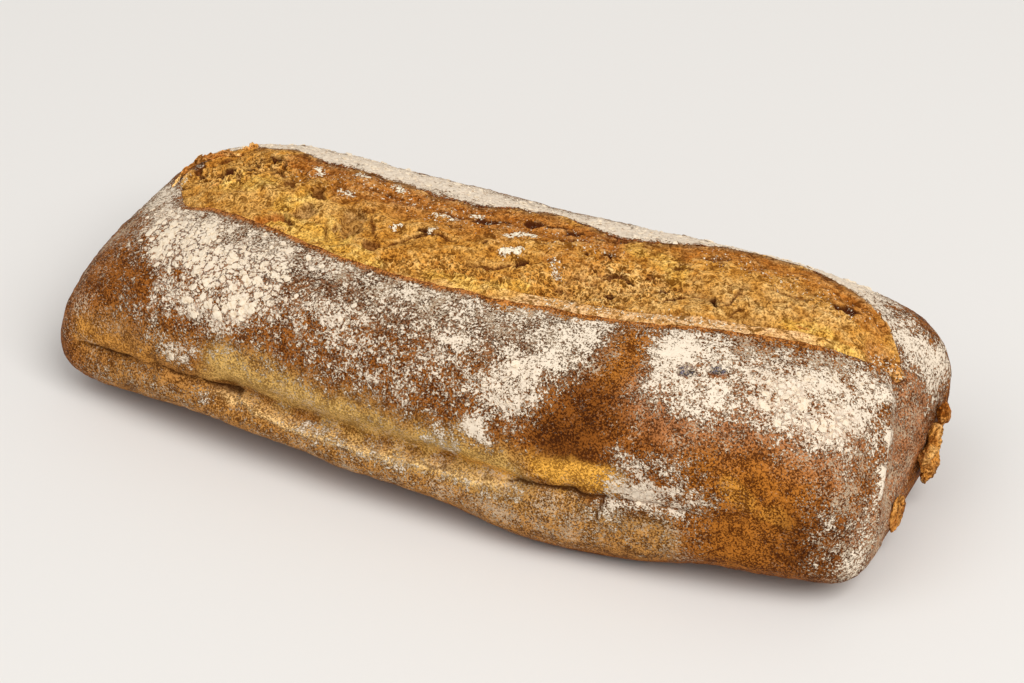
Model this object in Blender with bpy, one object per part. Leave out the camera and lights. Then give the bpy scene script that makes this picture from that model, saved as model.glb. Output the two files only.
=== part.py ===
"""A floured ciabatta, torn open along its top, lying on its flat underside.

One solid: the loaf is a rounded bar, bowed towards the front (-Y), with blunt ends, a flat
underside whose edges curl up, a long torn split on top, creases low on the front side, and
tucked folds and a scrap of torn crumb at the right end (+X).  Metres, +Z up.
"""
import bmesh
import bpy
import numpy as np
from mathutils import Vector, noise

# The bar: lengths in metres
LENGTH = 0.300
FRONT_REACH = 0.056          # centre line to the front side, at the ends
FRONT_BELLY = 0.0115         # how much further the front side stands out at mid length
BACK_REACH = 0.0615          # centre line to the back side, at the ends
BACK_HOLLOW = 0.012          # how much the back side draws in at mid length
HEIGHT = 0.0765              # at mid length, before the relief
TALLER_RIGHT = 0.003         # the right end is higher than the middle by this, the left lower
WIDEST_HEIGHT = 0.0185       # height at which the sides are widest
LEAN = -0.002                # how far the top leans to the front
CENTRE_SHIFT = (-0.0013, 0.0069)  # moves the bar so that its box is centred on the origin

# How square its corners are: 2 is an ellipse, more is squarer
FRONT_SHOULDER, BACK_SHOULDER = 3.3, 2.9
END_LEFT, END_RIGHT = 11.0, 7.0
DROOP_LEFT, DROOP_RIGHT = 3.0, 4.1
CURLED_EDGE = 1.8

# The underside: flat over a share of the width, then curled up at the edges
FLAT_SHARE = 0.55
BASE_CUT = 0.0015            # how much the loaf's own weight pressed flat
CURL_TURN = np.radians(60)   # the part of the section's turn that the curled edge takes
CURL_REACH = 0.050           # height up to which the front foot's lift is felt
BASE_BLEND = (0.0005, 0.012)  # heights between which the flat base gives way to relief
# How far the front foot curls up from the flat (+) or rolls down to it (-), along X
FOOT_LIFT = ((-0.150, -0.004), (-0.128, -0.003), (-0.095, 0.0045), (-0.050, 0.0045),
             (0.000, 0.0015), (0.040, -0.0055), (0.075, -0.003), (0.105, 0.004),
             (0.128, 0.0025), (0.150, -0.001))

# The split on top: its front and back edges in plan
SPLIT_FRONT = ((-0.130, 0.002), (-0.119, -0.013), (-0.100, -0.019), (-0.077, -0.025),
               (-0.055, -0.031), (-0.033, -0.035), (0.000, -0.035), (0.039, -0.032),
               (0.068, -0.027), (0.091, -0.020), (0.111, -0.013), (0.127, -0.006),
               (0.141, 0.002))
SPLIT_BACK = ((-0.130, 0.008), (-0.122, 0.022), (-0.101, 0.025), (-0.077, 0.018),
              (-0.050, 0.014), (-0.012, 0.011), (0.000, 0.016), (0.020, 0.016),
              (0.040, 0.012), (0.056, 0.016), (0.070, 0.023), (0.095, 0.028),
              (0.115, 0.024), (0.130, 0.017), (0.141, 0.004))
TOP_BLEND = (0.045, 0.056)   # heights between which the split's relief sets in
EDGE_WIDTH = 0.0015          # the crust's edge turns down to the crumb over this
CRUMB_STEP = 0.0014          # the crumb starts this far below the front edge of the crust
CRUMB_SWELL = 0.0016         # and swells this far above the bar in its middle
UNDER_LIP = 0.0042           # the crumb dips this far under the back lip
UNDER_LIP_PLACE, UNDER_LIP_WIDTH = 0.002, 0.0045
LIP_HEIGHT = 0.0026          # the back lip stands up by this
LIP_OVERHANG = 0.0014        # and hangs over the crumb by this
LIP_WIDTH, OVERHANG_WIDTH = 0.0048, 0.003
LIP_UNEVEN, LIP_UNEVEN_SIZE = 0.7, 0.014
FRONT_LIP_SHARE, FRONT_LIP_WIDTH = 0.4, 0.004
CRAG_HEIGHT, CRAG_SIZE = 0.0021, 0.011
CRAG_STRETCH = (0.7, 1.25, 1.0)  # crags run along the loaf
RAGGED, RAGGED_SIZE = 0.0016, 0.009  # how far the edges stray, and over what length
RAGGED_FADE = 0.02           # near the split's ends they stray less
SPLIT_SHARE = 0.93           # the share of the half length that the split reaches

# Holes torn in the crumb: x, y, half length, half width, depth
TEARS = ((-0.120, 0.013, 0.013, 0.0070, 0.0065),
         (-0.066, -0.009, 0.008, 0.0035, 0.0040),
         (-0.047, -0.017, 0.011, 0.0045, 0.0022),
         (-0.006, 0.004, 0.007, 0.0024, 0.0030),
         (0.016, 0.011, 0.012, 0.0024, 0.0036),
         (0.040, 0.003, 0.007, 0.0028, 0.0030),
         (0.070, 0.015, 0.008, 0.0030, 0.0038),
         (0.080, -0.010, 0.005, 0.0030, 0.0022),
         (0.117, 0.012, 0.007, 0.0026, 0.0036))

# Creases low on the front side: (x, z) points, then half width and depth
CREASES = ((((-0.134, 0.024), (-0.122, 0.026), (-0.104, 0.027)), 0.0030, 0.0022),
           (((-0.104, 0.031), (-0.095, 0.030), (-0.086, 0.029)), 0.0026, 0.0018),
           (((-0.084, 0.030), (-0.076, 0.028), (-0.066, 0.026)), 0.0028, 0.0020),
           (((-0.070, 0.030), (-0.027, 0.029), (0.010, 0.030)), 0.0060, 0.0022),
           (((0.012, 0.028), (0.039, 0.030), (0.056, 0.032)), 0.0030, 0.0024),
           (((0.056, 0.032), (0.078, 0.036), (0.100, 0.034)), 0.0040, 0.0014))
FRONT_BLEND = (0.035, 0.050)  # distances to the front between which the creases set in
FOOT_RIM_HEIGHT, FOOT_RIM_HALF, FOOT_RIM_SWELL = 0.019, 0.008, 0.0018
FOOT_RIM_LEFT, FOOT_RIM_RIGHT = (-0.130, -0.060), (0.040, 0.100)

# The right end: tucked folds as (y, z) points with half width and height, and torn crumb
# as y, z, half width, half height and how far it stands out
END_FOLDS = ((((-0.009, 0.060), (-0.024, 0.049), (-0.033, 0.038), (-0.038, 0.024)), 0.0035, 0.0024),
             (((0.004, 0.062), (-0.006, 0.048), (-0.016, 0.030)), 0.0045, -0.0020),
             (((0.030, 0.058), (0.034, 0.040), (0.030, 0.026)), 0.0050, 0.0016))
END_CRUMB = ((0.018, 0.031, 0.013, 0.015, 0.0048),
             (-0.013, 0.018, 0.007, 0.008, 0.0034))
END_SETBACK = 0.0030         # the end face stands this far in from the torn crumb
END_BLEND, END_CRUMB_BLEND = (0.128, 0.142), (0.140, 0.144)
END_CRUMB_RIM = (0.55, 1.15)
END_CRUMB_ROUGH, END_CRUMB_GRAIN = 0.5, 0.007

# Broad swellings of the dough: x, y, z of the middle, size and height
SWELLINGS = ((-0.100, 0.032, 0.068, 0.034, 0.0018), (0.122, 0.034, 0.066, 0.022, 0.0010),
             (0.142, 0.034, 0.048, 0.020, 0.0018), (-0.139, -0.050, 0.012, 0.016, 0.0026),
             (0.143, -0.042, 0.014, 0.016, 0.0022), (-0.040, -0.058, 0.010, 0.030, -0.0010))

# Slow unevenness of the crust
UNEVEN_HEIGHT, UNEVEN_SIZE = 0.0012, 0.034

# Mesh: rings along the loaf, points round the back, the split, the front and the underside
RINGS = 88
BACK_POINTS, SPLIT_POINTS, FRONT_POINTS, UNDER_POINTS = 13, 18, 15, 15
FINE_STEPS = 1200

CRUST_COLOUR = (0.43, 0.23, 0.09, 1.0)
CRUST_ROUGHNESS = 0.82


def through(points, at):
    """The value at `at` of a smooth line through (position, value) points."""
    places, values = np.array(points).T
    slopes = np.gradient(values, places)
    i = np.clip(np.searchsorted(places, at) - 1, 0, len(places) - 2)
    width = places[i + 1] - places[i]
    t = np.clip((at - places[i]) / width, 0, 1)
    rise = t * t * (3 - 2 * t)
    return (values[i] * (1 - rise) + values[i + 1] * rise
            + width * (t * (1 - t) ** 2 * slopes[i] - t * t * (1 - t) * slopes[i + 1]))


def bell(distance, half_width):
    """One at the middle, fading to nothing over about two half widths."""
    return np.exp(-(distance / half_width) ** 2)


def ramp(value, start, end):
    """A smooth step from 0 at start to 1 at end."""
    t = np.clip((value - start) / (end - start), 0, 1)
    return t * t * (3 - 2 * t)


def uneven(points, size, octaves):
    """Fractal noise at each point, with lumps of the given size."""
    return np.array([noise.fractal(Vector(p / size), 1.0, 2.0, octaves) for p in points])


def rounded(share, power):
    """A quarter outline that is 1 at the middle and closes at share 1."""
    return np.maximum(1 - np.abs(share) ** power, 0) ** (1 / power)


def bar(station, turn):
    """Points of the plain bar: station from -1 to 1 along it, turn in radians from the back."""
    across, up = np.cos(turn), np.sin(turn)
    left = station < 0
    blunt = rounded(station, np.where(left, END_LEFT, END_RIGHT))
    droop = rounded(station, np.where(left, DROOP_LEFT, DROOP_RIGHT))
    middle = 1 - station ** 2
    front = across < 0
    reach = blunt * np.where(front, FRONT_REACH + FRONT_BELLY * middle,
                             BACK_REACH - BACK_HOLLOW * middle)

    shoulder = 2 / np.where(front, FRONT_SHOULDER, BACK_SHOULDER)
    height = HEIGHT + TALLER_RIGHT * station
    upper_y = reach * np.sign(across) * np.abs(across) ** shoulder
    upper_z = WIDEST_HEIGHT + (height - WIDEST_HEIGHT) * np.abs(up) ** shoulder * droop

    below = np.arcsin(np.minimum(np.abs(up), 1))
    curled = np.minimum(below / CURL_TURN, 1) * np.pi / 2
    inward = np.clip((np.pi / 2 - below) / (np.pi / 2 - CURL_TURN), 0, 1)
    edge = 2 / CURLED_EDGE
    lower_y = reach * np.sign(across) * (FLAT_SHARE * inward
                                         + (1 - FLAT_SHARE) * np.maximum(np.cos(curled), 0) ** edge)
    rise = WIDEST_HEIGHT + BASE_CUT
    lower_z = WIDEST_HEIGHT - rise * np.sin(curled) ** edge * droop

    y = np.where(up >= 0, upper_y, lower_y)
    z = np.where(up >= 0, upper_z, lower_z)
    foot = through(FOOT_LIFT, LENGTH / 2 * station) * blunt
    z = z + foot * np.clip(-across, 0, 1) * np.clip(1 - z / CURL_REACH, 0, 1)
    y = y + LEAN * z / height
    x = (LENGTH / 2 - END_SETBACK * ramp(station, 0, 1)) * station
    return np.stack([x, y, np.maximum(z, 0)], axis=-1)


def distance_to_line(across, along, line):
    """Distance in a plane from each (across, along) to a line of points."""
    nearest = np.full(np.shape(across), np.inf)
    for (a0, b0), (a1, b1) in zip(line[:-1], line[1:]):
        step_a, step_b = a1 - a0, b1 - b0
        share = ((across - a0) * step_a + (along - b0) * step_b) / (step_a ** 2 + step_b ** 2)
        share = np.clip(share, 0, 1)
        nearest = np.minimum(nearest, np.hypot(across - a0 - share * step_a,
                                               along - b0 - share * step_b))
    return nearest


def split_edges(x):
    """The front and back edges of the split at x, in plan, ragged as torn crust is."""
    places = np.stack([x, np.zeros_like(x), np.zeros_like(x)], axis=-1)
    shape = np.shape(x)
    torn = RAGGED * uneven(places.reshape(-1, 3), RAGGED_SIZE, 3).reshape(shape)
    fade = ramp(np.minimum(x - SPLIT_FRONT[0][0], SPLIT_FRONT[-1][0] - x), 0, RAGGED_FADE)
    return through(SPLIT_FRONT, x) + torn * fade / 2, through(SPLIT_BACK, x) - torn * fade


def split_relief(points):
    """Lift along the normal and slide to the back, in and beside the torn split."""
    x, y, z = points.T
    on_top = ramp(z, *TOP_BLEND)
    front_edge, back_edge = split_edges(x)
    from_front, from_back = y - front_edge, back_edge - y
    from_end = np.minimum(x - SPLIT_FRONT[0][0], SPLIT_FRONT[-1][0] - x)
    inside = ramp(np.minimum(np.minimum(from_front, from_back), from_end), 0, EDGE_WIDTH) * on_top

    width = np.maximum(from_front + from_back, UNDER_LIP_WIDTH)
    share = np.clip(from_front / width, 0, 1)
    swell = -CRUMB_STEP + (CRUMB_SWELL + CRUMB_STEP) * np.sin(np.pi * share)
    swell = swell - UNDER_LIP * bell(from_back - UNDER_LIP_PLACE, UNDER_LIP_WIDTH)
    crags = CRAG_HEIGHT * uneven(points * CRAG_STRETCH, CRAG_SIZE, 3)
    lift = inside * (swell + crags)
    for tear_x, tear_y, half_length, half_width, depth in TEARS:
        place = np.hypot((x - tear_x) / half_length, (y - tear_y) / half_width)
        lift = lift - inside * depth * bell(place, 1)

    beside = (1 - inside) * on_top
    ragged = 1 + LIP_UNEVEN * uneven(points, LIP_UNEVEN_SIZE, 2)
    near_ends = ramp(from_end, -LIP_WIDTH, LIP_WIDTH)
    back_lip = beside * near_ends * bell(from_back, LIP_WIDTH) * ragged
    front_lip = beside * near_ends * bell(from_front, FRONT_LIP_WIDTH)
    lift = lift + LIP_HEIGHT * (back_lip + FRONT_LIP_SHARE * front_lip)
    slide = LIP_OVERHANG * (inside * bell(from_back, OVERHANG_WIDTH) - back_lip)
    return lift, slide


def front_relief(points):
    """Creases and the rolled rim low on the front side."""
    x, y, z = points.T
    on_front = ramp(-y, *FRONT_BLEND)
    lift = np.zeros(len(points))
    for line, half_width, depth in CREASES:
        lift = lift - depth * bell(distance_to_line(x, z, line), half_width)
    rim = ramp(x, *FOOT_RIM_LEFT) * (1 - ramp(x, *FOOT_RIM_RIGHT))
    rim = rim * bell(z - FOOT_RIM_HEIGHT, FOOT_RIM_HALF)
    return on_front * (lift + FOOT_RIM_SWELL * rim)


def end_relief(points):
    """Tucked folds on the right end, and how far its torn crumb stands out along X."""
    x, y, z = points.T
    on_end = ramp(x, *END_BLEND)
    lift = np.zeros(len(points))
    for line, half_width, height in END_FOLDS:
        lift = lift + height * bell(distance_to_line(y, z, line), half_width)
    crumb = np.zeros(len(points))
    torn = 1 + END_CRUMB_ROUGH * uneven(points, END_CRUMB_GRAIN, 3)
    for crumb_y, crumb_z, half_y, half_z, reach in END_CRUMB:
        place = np.hypot((y - crumb_y) / half_y, (z - crumb_z) / half_z)
        crumb = np.maximum(crumb, reach * (1 - ramp(place, *END_CRUMB_RIM)) * torn)
    return on_end * lift, ramp(x, *END_CRUMB_BLEND) * crumb


def grid_normals(grid):
    """Outward normals of a grid of points, rings first, that closes round the loaf."""
    along = np.gradient(grid, axis=0)
    around = np.roll(grid, -1, axis=1) - np.roll(grid, 1, axis=1)
    normals = np.cross(around, along)
    return normals / np.maximum(np.linalg.norm(normals, axis=2, keepdims=True), 1e-12)


def crust(station, turn):
    """The loaf's surface: the bar with all its relief."""
    grid = bar(station, turn)
    shape = grid.shape
    normals = grid_normals(grid).reshape(-1, 3)
    points = grid.reshape(-1, 3)
    off_base = ramp(points[:, 2], *BASE_BLEND)

    split_lift, slide = split_relief(points)
    end_lift, crumb_reach = end_relief(points)
    slow = UNEVEN_HEIGHT * uneven(points, UNEVEN_SIZE, 2)
    for *middle, size, height in SWELLINGS:
        slow = slow + height * bell(np.linalg.norm(points - middle, axis=1), size)
    lift = split_lift + off_base * (slow + end_lift + front_relief(points))
    points = points + normals * lift[:, None]
    points[:, 0] += off_base * crumb_reach + CENTRE_SHIFT[0]
    points[:, 1] += slide + CENTRE_SHIFT[1]
    return points.reshape(shape)


def spread_stations(count):
    """Stations along the loaf, evenly spaced over its blunt ends too."""
    station = np.sin(np.linspace(-np.pi / 2, np.pi / 2, FINE_STEPS))
    outline = bar(station, np.full(FINE_STEPS, np.pi))
    crown = bar(station, np.full(FINE_STEPS, np.pi / 2))
    steps = (np.linalg.norm(np.diff(outline, axis=0), axis=1)
             + np.linalg.norm(np.diff(crown, axis=0), axis=1))
    travelled = np.concatenate([[0], np.cumsum(steps)])
    return np.interp(np.linspace(0, travelled[-1], count + 2)[1:-1], travelled, station)


def ring_turns(station):
    """Turns round one ring, with a point on each edge of the split."""
    fine = np.linspace(0, 2 * np.pi, FINE_STEPS)
    section = bar(np.full(FINE_STEPS, station), fine)
    upper = fine <= np.pi
    edges = np.array(split_edges(section[:1, 0])).ravel()
    edges = edges * min(1, rounded(station, END_RIGHT) / rounded(SPLIT_SHARE, END_RIGHT))
    split_front, split_back = np.interp(-edges, -section[upper, 1], fine[upper])
    stretches = ((0.0, split_back, BACK_POINTS), (split_back, split_front, SPLIT_POINTS),
                 (split_front, np.pi, FRONT_POINTS), (np.pi, 2 * np.pi, UNDER_POINTS))
    steps = np.linalg.norm(np.diff(section, axis=0), axis=1)
    travelled = np.concatenate([[0], np.cumsum(steps)])
    turns = []
    for start, end, count in stretches:
        limits = np.interp((start, end), fine, travelled)
        places = np.linspace(*limits, count + 1)[:-1]
        turns.append(np.interp(places, travelled, fine))
    return np.concatenate(turns)


def skin_rings(rings, name):
    """A closed mesh over rings of points, each end drawn together in one point."""
    shape = bmesh.new()
    loops = [[shape.verts.new(point) for point in ring] for ring in rings]
    for ring, following in zip(loops[:-1], loops[1:]):
        for i in range(len(ring)):
            j = (i + 1) % len(ring)
            shape.faces.new((ring[i], ring[j], following[j], following[i]))
    for ring in (loops[0], loops[-1]):
        tip = shape.verts.new(sum((corner.co for corner in ring), Vector()) / len(ring))
        for i in range(len(ring)):
            shape.faces.new((ring[i], ring[(i + 1) % len(ring)], tip))
    bmesh.ops.triangulate(shape, faces=shape.faces[:])
    bmesh.ops.recalc_face_normals(shape, faces=shape.faces[:])
    mesh = bpy.data.meshes.new(name)
    shape.to_mesh(mesh)
    shape.free()
    mesh.shade_smooth()
    return mesh


def crust_material():
    material = bpy.data.materials.new("browned crust")
    material.use_nodes = True
    shader = material.node_tree.nodes["Principled BSDF"]
    shader.inputs["Base Color"].default_value = CRUST_COLOUR
    shader.inputs["Roughness"].default_value = CRUST_ROUGHNESS
    shader.inputs["Metallic"].default_value = 0.0
    return material


def make_loaf():
    stations = spread_stations(RINGS)
    turn = np.array([ring_turns(station) for station in stations])
    station = np.repeat(stations[:, None], turn.shape[1], axis=1)
    mesh = skin_rings(crust(station, turn), "loaf")
    mesh.materials.append(crust_material())
    loaf = bpy.data.objects.new("loaf", mesh)
    bpy.context.collection.objects.link(loaf)


for old in list(bpy.data.objects):
    bpy.data.objects.remove(old)
make_loaf()
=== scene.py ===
"""A part-baked ciabatta dressed for the camera: floured crust, torn crumb and loose flour."""

import bpy
import numpy as np
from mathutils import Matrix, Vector, noise


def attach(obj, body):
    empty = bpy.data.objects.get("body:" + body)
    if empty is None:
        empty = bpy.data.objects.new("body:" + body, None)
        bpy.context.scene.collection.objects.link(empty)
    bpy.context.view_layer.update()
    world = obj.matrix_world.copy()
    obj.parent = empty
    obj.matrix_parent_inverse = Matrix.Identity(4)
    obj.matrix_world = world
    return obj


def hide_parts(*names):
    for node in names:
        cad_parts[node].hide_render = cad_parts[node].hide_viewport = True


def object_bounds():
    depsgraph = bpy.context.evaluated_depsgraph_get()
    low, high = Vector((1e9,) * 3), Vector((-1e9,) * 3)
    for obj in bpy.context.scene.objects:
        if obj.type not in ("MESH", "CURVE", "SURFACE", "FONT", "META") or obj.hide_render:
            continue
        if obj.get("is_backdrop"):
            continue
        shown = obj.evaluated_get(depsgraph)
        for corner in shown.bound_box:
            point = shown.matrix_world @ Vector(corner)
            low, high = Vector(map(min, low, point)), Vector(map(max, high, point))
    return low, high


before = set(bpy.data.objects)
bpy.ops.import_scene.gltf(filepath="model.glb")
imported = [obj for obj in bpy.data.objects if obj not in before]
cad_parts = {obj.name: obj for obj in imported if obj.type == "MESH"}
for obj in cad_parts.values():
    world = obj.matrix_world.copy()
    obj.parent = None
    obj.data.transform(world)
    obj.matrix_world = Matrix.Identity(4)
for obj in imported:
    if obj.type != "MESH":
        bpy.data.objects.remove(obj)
cad_low, cad_high = (np.array(corner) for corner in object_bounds())

# The crust
# The browned outside of the loaf: dry dough a few millimetres thick, proved on flour, so that
# flour cakes on its front, top and right end.  It tore open along its top in the oven, and its
# front foot rolled over in creases.


def metres(sizes):
    """Sizes given in millimetres, nested in tuples, as metres."""
    return tuple(map(metres, sizes)) if isinstance(sizes, tuple) else sizes / 1000


def strokes(*rows):
    """Strokes painted on the loaf: a line and a half width in mm, how thick, and perhaps a colour."""
    return [(metres(line), metres(half_width), *rest) for line, half_width, *rest in rows]


LENGTH = 0.3
FRONT_REACH, FRONT_BELLY = 0.056, 0.0115      # centre line to front side; more at mid length
BACK_REACH, BACK_HOLLOW = 0.0615, 0.012       # centre line to back side; less at mid length
HEIGHT, TALLER_RIGHT = 0.0765, 0.003
WIDEST_HEIGHT = 0.0185
LEAN = -0.002
CENTRE_SHIFT = np.array((-0.0013, 0.0069, 0.0))
FRONT_SHOULDER, BACK_SHOULDER = 3.3, 2.9      # how square the corners are
END_LEFT, END_RIGHT = 11.0, 7.0
DROOP_LEFT, DROOP_RIGHT = 3.0, 4.1
CURLED_EDGE = 1.8
FLAT_SHARE, BASE_CUT = 0.55, 0.0015           # the flat underside
CURL_TURN, CURL_REACH = np.radians(60), 0.05
BASE_BLEND = (0.0005, 0.012)
FOOT_LIFT = metres((
    (-150, -4), (-128, -3), (-95, 4.5), (-50, 4.5), (0, 1.5), (40, -5.5), (75, -3), (105, 4), (128, 2.5),
    (150, -1)))
END_SETBACK = 0.003

# The torn split's edges in plan, and how the crust ends at them
SPLIT_FRONT = metres((
    (-128.5, 2.5), (-119, -12), (-100, -19), (-77, -25), (-55, -31), (-33, -35), (0, -35), (39, -32),
    (68, -27), (91, -20), (111, -13), (127, -6), (141, 2)))
SPLIT_BACK = metres((
    (-128.5, 10), (-122, 22), (-101, 25), (-77, 18), (-50, 14), (-12, 11), (0, 16), (20, 16), (40, 12),
    (56, 16), (70, 23), (95, 28), (115, 24), (130, 17), (141, 4)))
TOP_BLEND = (0.045, 0.056)
EDGE_WIDTH = 0.0015
LIP_HEIGHT, LIP_WIDTH = 0.0007, 0.0044
LIP_OVERHANG, OVERHANG_WIDTH = 0.0004, 0.003
LIP_UNEVEN, LIP_UNEVEN_SIZE = 0.7, 0.014
FRONT_LIP_SHARE, FRONT_LIP_WIDTH = 0.4, 0.004
RAGGED, RAGGED_SIZE, RAGGED_FADE = 0.0016, 0.009, 0.02
SPLIT_SHARE = 0.93
TROUGH, TROUGH_EDGE = 0.0095, 0.0022          # the bed of the crumb, and how steeply it starts

# Creases low on the front: (x, z) points, half width and depth in mm; then the cuts in them
CREASES = metres((
    (((-134, 24), (-122, 26), (-104, 27)), 3, 2.2), (((-104, 31), (-95, 30), (-86, 29)), 2.6, 1.8),
    (((-84, 30), (-76, 28), (-66, 26)), 2.8, 2), (((-70, 30), (-27, 29), (10, 30)), 6, 2.2),
    (((12, 28), (39, 30), (56, 32)), 3, 2.4), (((56, 32), (78, 36), (100, 34)), 4, 1.4)))
SHARP_CREASES = metres((
    (((-134, 24.5), (-122, 25.5), (-110, 27.5)), 1.1, 1.6), (((-102, 30), (-94, 29), (-86, 29.5)), 0.8, 0.9),
    (((-83, 30), (-77, 28.5), (-69, 27.5)), 0.9, 1.6), (((25, 27.6), (36, 29)), 0.9, 0.8),
    (((34, 28.5), (41, 29)), 1.6, 2.2), (((41, 30), (59, 31.2), (68, 33)), 0.8, 1.3),
    (((67, 32.5), (66.5, 29), (65, 24)), 0.7, 1.4), (((68, 33), (84, 35), (98, 34)), 0.9, 0.8),
    (((-28, 23.2), (-25, 22.8)), 1.4, 1), (((3, 26.4), (13.5, 26)), 0.9, 0.9)))
CRACK_DEPTH, CRACK_EDGE = 0.0014, (0.0001, 0.0009)     # a cut this deep gets full painted shade, this far from its line
CRACK_STRAY, CRACK_STRAY_SIZE = 0.0007, 0.004
FRONT_BLEND = (0.035, 0.05)
FOLD_LINE = metres(((-80, 27.5), (-51, 25.8), (-27, 25), (-4, 25.8), (18, 26.5), (40, 29)))
FOLD_DEPTH, FOLD_EDGE, FOLD_REACH = 0.0032, (0, 0.0012), (0.002, 0.013)
FOLD_STRAY, FOLD_SIZE = 0.0009, 0.007
FOLD_BEAD, FOLD_BEAD_HALF = 0.0009, 0.0012
FOLD_ENDS = ((-0.084, -0.07), (0.02, 0.044))
FOOT_RIM_HEIGHT, FOOT_RIM_HALF, FOOT_RIM_SWELL = 0.019, 0.008, 0.0018
FOOT_RIM_ENDS = ((-0.13, -0.06), (0.04, 0.1))

# The right end: its tucked folds, each a (y, z) line, half width and height, and its torn crumb
END_FOLDS = metres((
    (((-9, 60), (-24, 49), (-33, 38), (-38, 24)), 3.5, 2.4), (((4, 62), (-6, 48), (-16, 30)), 4.5, -2),
    (((30, 58), (34, 40), (30, 26)), 5, 1.6)))
END_CRUMB = metres(((18, 31, 13, 15, 4.8), (-13, 18, 7, 8, 3.4)))     # y, z, half sizes, how far out
END_BLEND, END_CRUMB_BLEND = (0.128, 0.142), (0.14, 0.144)
END_CRUMB_RIM = (0.55, 1.15)
END_CRUMB_ROUGH, END_CRUMB_GRAIN = 0.5, 0.007
END_CRUMB_SHARE = 0.25                        # the rest of it is the scraps of crumb

# Broad swellings and hollows: their middles, sizes and heights
SWELLINGS = metres((
    (-100, 32, 68, 34, 1.8), (122, 34, 66, 22, 1), (142, 34, 48, 20, 1.8), (-139, -50, 12, 16, 2.6),
    (143, -42, 14, 16, 2.2), (-40, -58, 10, 30, -1)))
UNEVEN_HEIGHT, UNEVEN_SIZE = 0.0012, 0.034
BLISTER_HEIGHT, BLISTER_SIZE = 0.00032, 0.005
PIMPLE_HEIGHT, PIMPLE_SIZE = 0.00012, 0.0015
FLOUR_THICK, FLOUR_CAKE, FLOUR_CAKE_SIZE = 0.00012, 0.0006, 0.0022

# Rings along the loaf, and points round the back, trough, front, front curl, base and back curl
CRUST_RINGS, FINE_STEPS = 448, 1200
RING_POINTS = (34, 8, 138, 18, 8, 8)

# Where the flour lies
FLOUR_PATCHES = strokes(
    (((-101, -18, 69), (-91, -21, 71), (-76, -23, 72), (-49, -29, 74), (-36, -33, 74), (-8, -33, 75),
     (20, -31, 75), (40, -30, 75)), 8, 0.42),
    (((-122, -26, 58), (-100, -32, 65), (-60, -40, 70), (-20, -43, 70), (40, -42, 70)), 13, 0.44),
    (((-140, 4, 50), (-126, -8, 60), (-112, -18, 65)), 10, 0.5),
    (((70, -30, 75), (90, -28, 74), (115, -22, 71), (130, -12, 66)), 14, 0.66),
    (((86, -40, 69), (104, -40, 67), (122, -38, 63)), 9, 0.56),
    (((-100, -46, 60), (-60, -51, 61), (-20, -53, 61), (14, -56, 57), (36, -56, 55)), 9, 0.4),
    (((-110, -30, 65), (-90, -36, 68), (-70, -41, 69)), 10, 0.8), (((-91, -50, 56), (-72, -52, 59)), 6, 0.6),
    (((-117, -20, 63), (-104, -26, 67)), 6, 0.35), (((-50, -44, 68), (-36, -46, 68)), 7, 0.3),
    (((3, -44, 70), (12, -47, 69)), 4.5, 0.45), (((34, -49, 66), (42, -41, 71), (51, -29, 76)), 6.5, 0.62),
    (((25, -54, 60), (37, -56, 56)), 6, 0.55), (((69, -31, 74), (80, -27, 75)), 5.5, 0.72),
    (((73, -42, 71), (77, -38, 72)), 3.5, 0.75), (((96, -39, 69), (108, -35, 68)), 4.5, 0.38),
    (((74, -50, 65), (93, -46, 65)), 6, 0.34), (((116, -28, 70), (120, -36, 66), (130, -32, 61)), 7.5, 0.76),
    (((134, -23, 61), (138, -8, 60), (140, 4, 58)), 8, 0.46),
    (((-137, 8, 48), (-133, 4, 55), (-126, -7, 61)), 6, 0.6), (((-118, -51, 46), (-107, -53, 49)), 4, 0.34),
    (((132, -20, 64), (142, -22, 50), (146, -30, 34)), 9, 0.28),
    (((-104, -55, 42), (-98, -56, 40), (-94, -57, 39)), 4.4, 0.68),
    (((-85, -55, 47), (-40, -58, 48), (20, -60, 46)), 6.5, 0.27), (((5, -61, 37), (13, -61, 38)), 3, 0.6),
    (((20, -59, 48), (25, -60, 44)), 3, 0.75), (((72, -57, 49), (84, -56, 51), (96, -52, 54)), 3.5, 0.55),
    (((72, -57, 38), (86, -57, 41), (99, -54, 42)), 5.5, 0.9),
    (((66, -59, 31), (82, -57, 34), (98, -54, 35)), 4.2, 0.62),
    (((133, -46, 36), (139, -40, 36), (145, -35, 22)), 10, 0.34),
    (((132, -48, 34), (134.5, -46.5, 18), (134.5, -45.5, 8)), 2.4, 0.62),
    (((134, -46, 40), (140, -40, 37)), 3.2, 0.58), (((143, -38, 24), (144, -35, 10)), 4.5, 0.5),
    (((-128, -52, 17), (-105, -57, 20), (-69, -59, 20), (-20, -62, 18), (40, -62, 18), (95, -56, 20)),
     6, 0.2), (((-83, -58, 25), (-52, -60, 24), (-27, -61, 23.5), (12, -62, 24), (45, -61, 27)), 1.2, 0.34),
    (((144, 4, 52), (148, -6, 36), (147, -18, 24)), 14, 0.26), (((138, 28, 60), (145, 33, 49)), 10, 0.66),
    (((121, 31, 70), (134, 25, 66), (142, 27, 55)), 9, 0.62),
    (((140, 1, 58), (144, -12, 54), (146, -19, 45), (147, -28, 39)), 1.6, 0.85),
    (((-120, 40, 60), (-80, 33, 71), (-44, 29, 74), (-9, 26, 77), (29, 27, 77), (56, 33, 76), (81, 39, 72),
     (110, 41, 68)), 14, 1), (((-110, 58, 30), (-60, 54, 34), (-20, 52, 30)), 11, 0.45),
    (((30, 52, 36), (90, 58, 40), (120, 58, 34)), 12, 0.5))
FLOUR_STRAY, FLOUR_STRAY_SIZE, FLOUR_SPREAD = 0.0045, 0.009, 1.15
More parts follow.
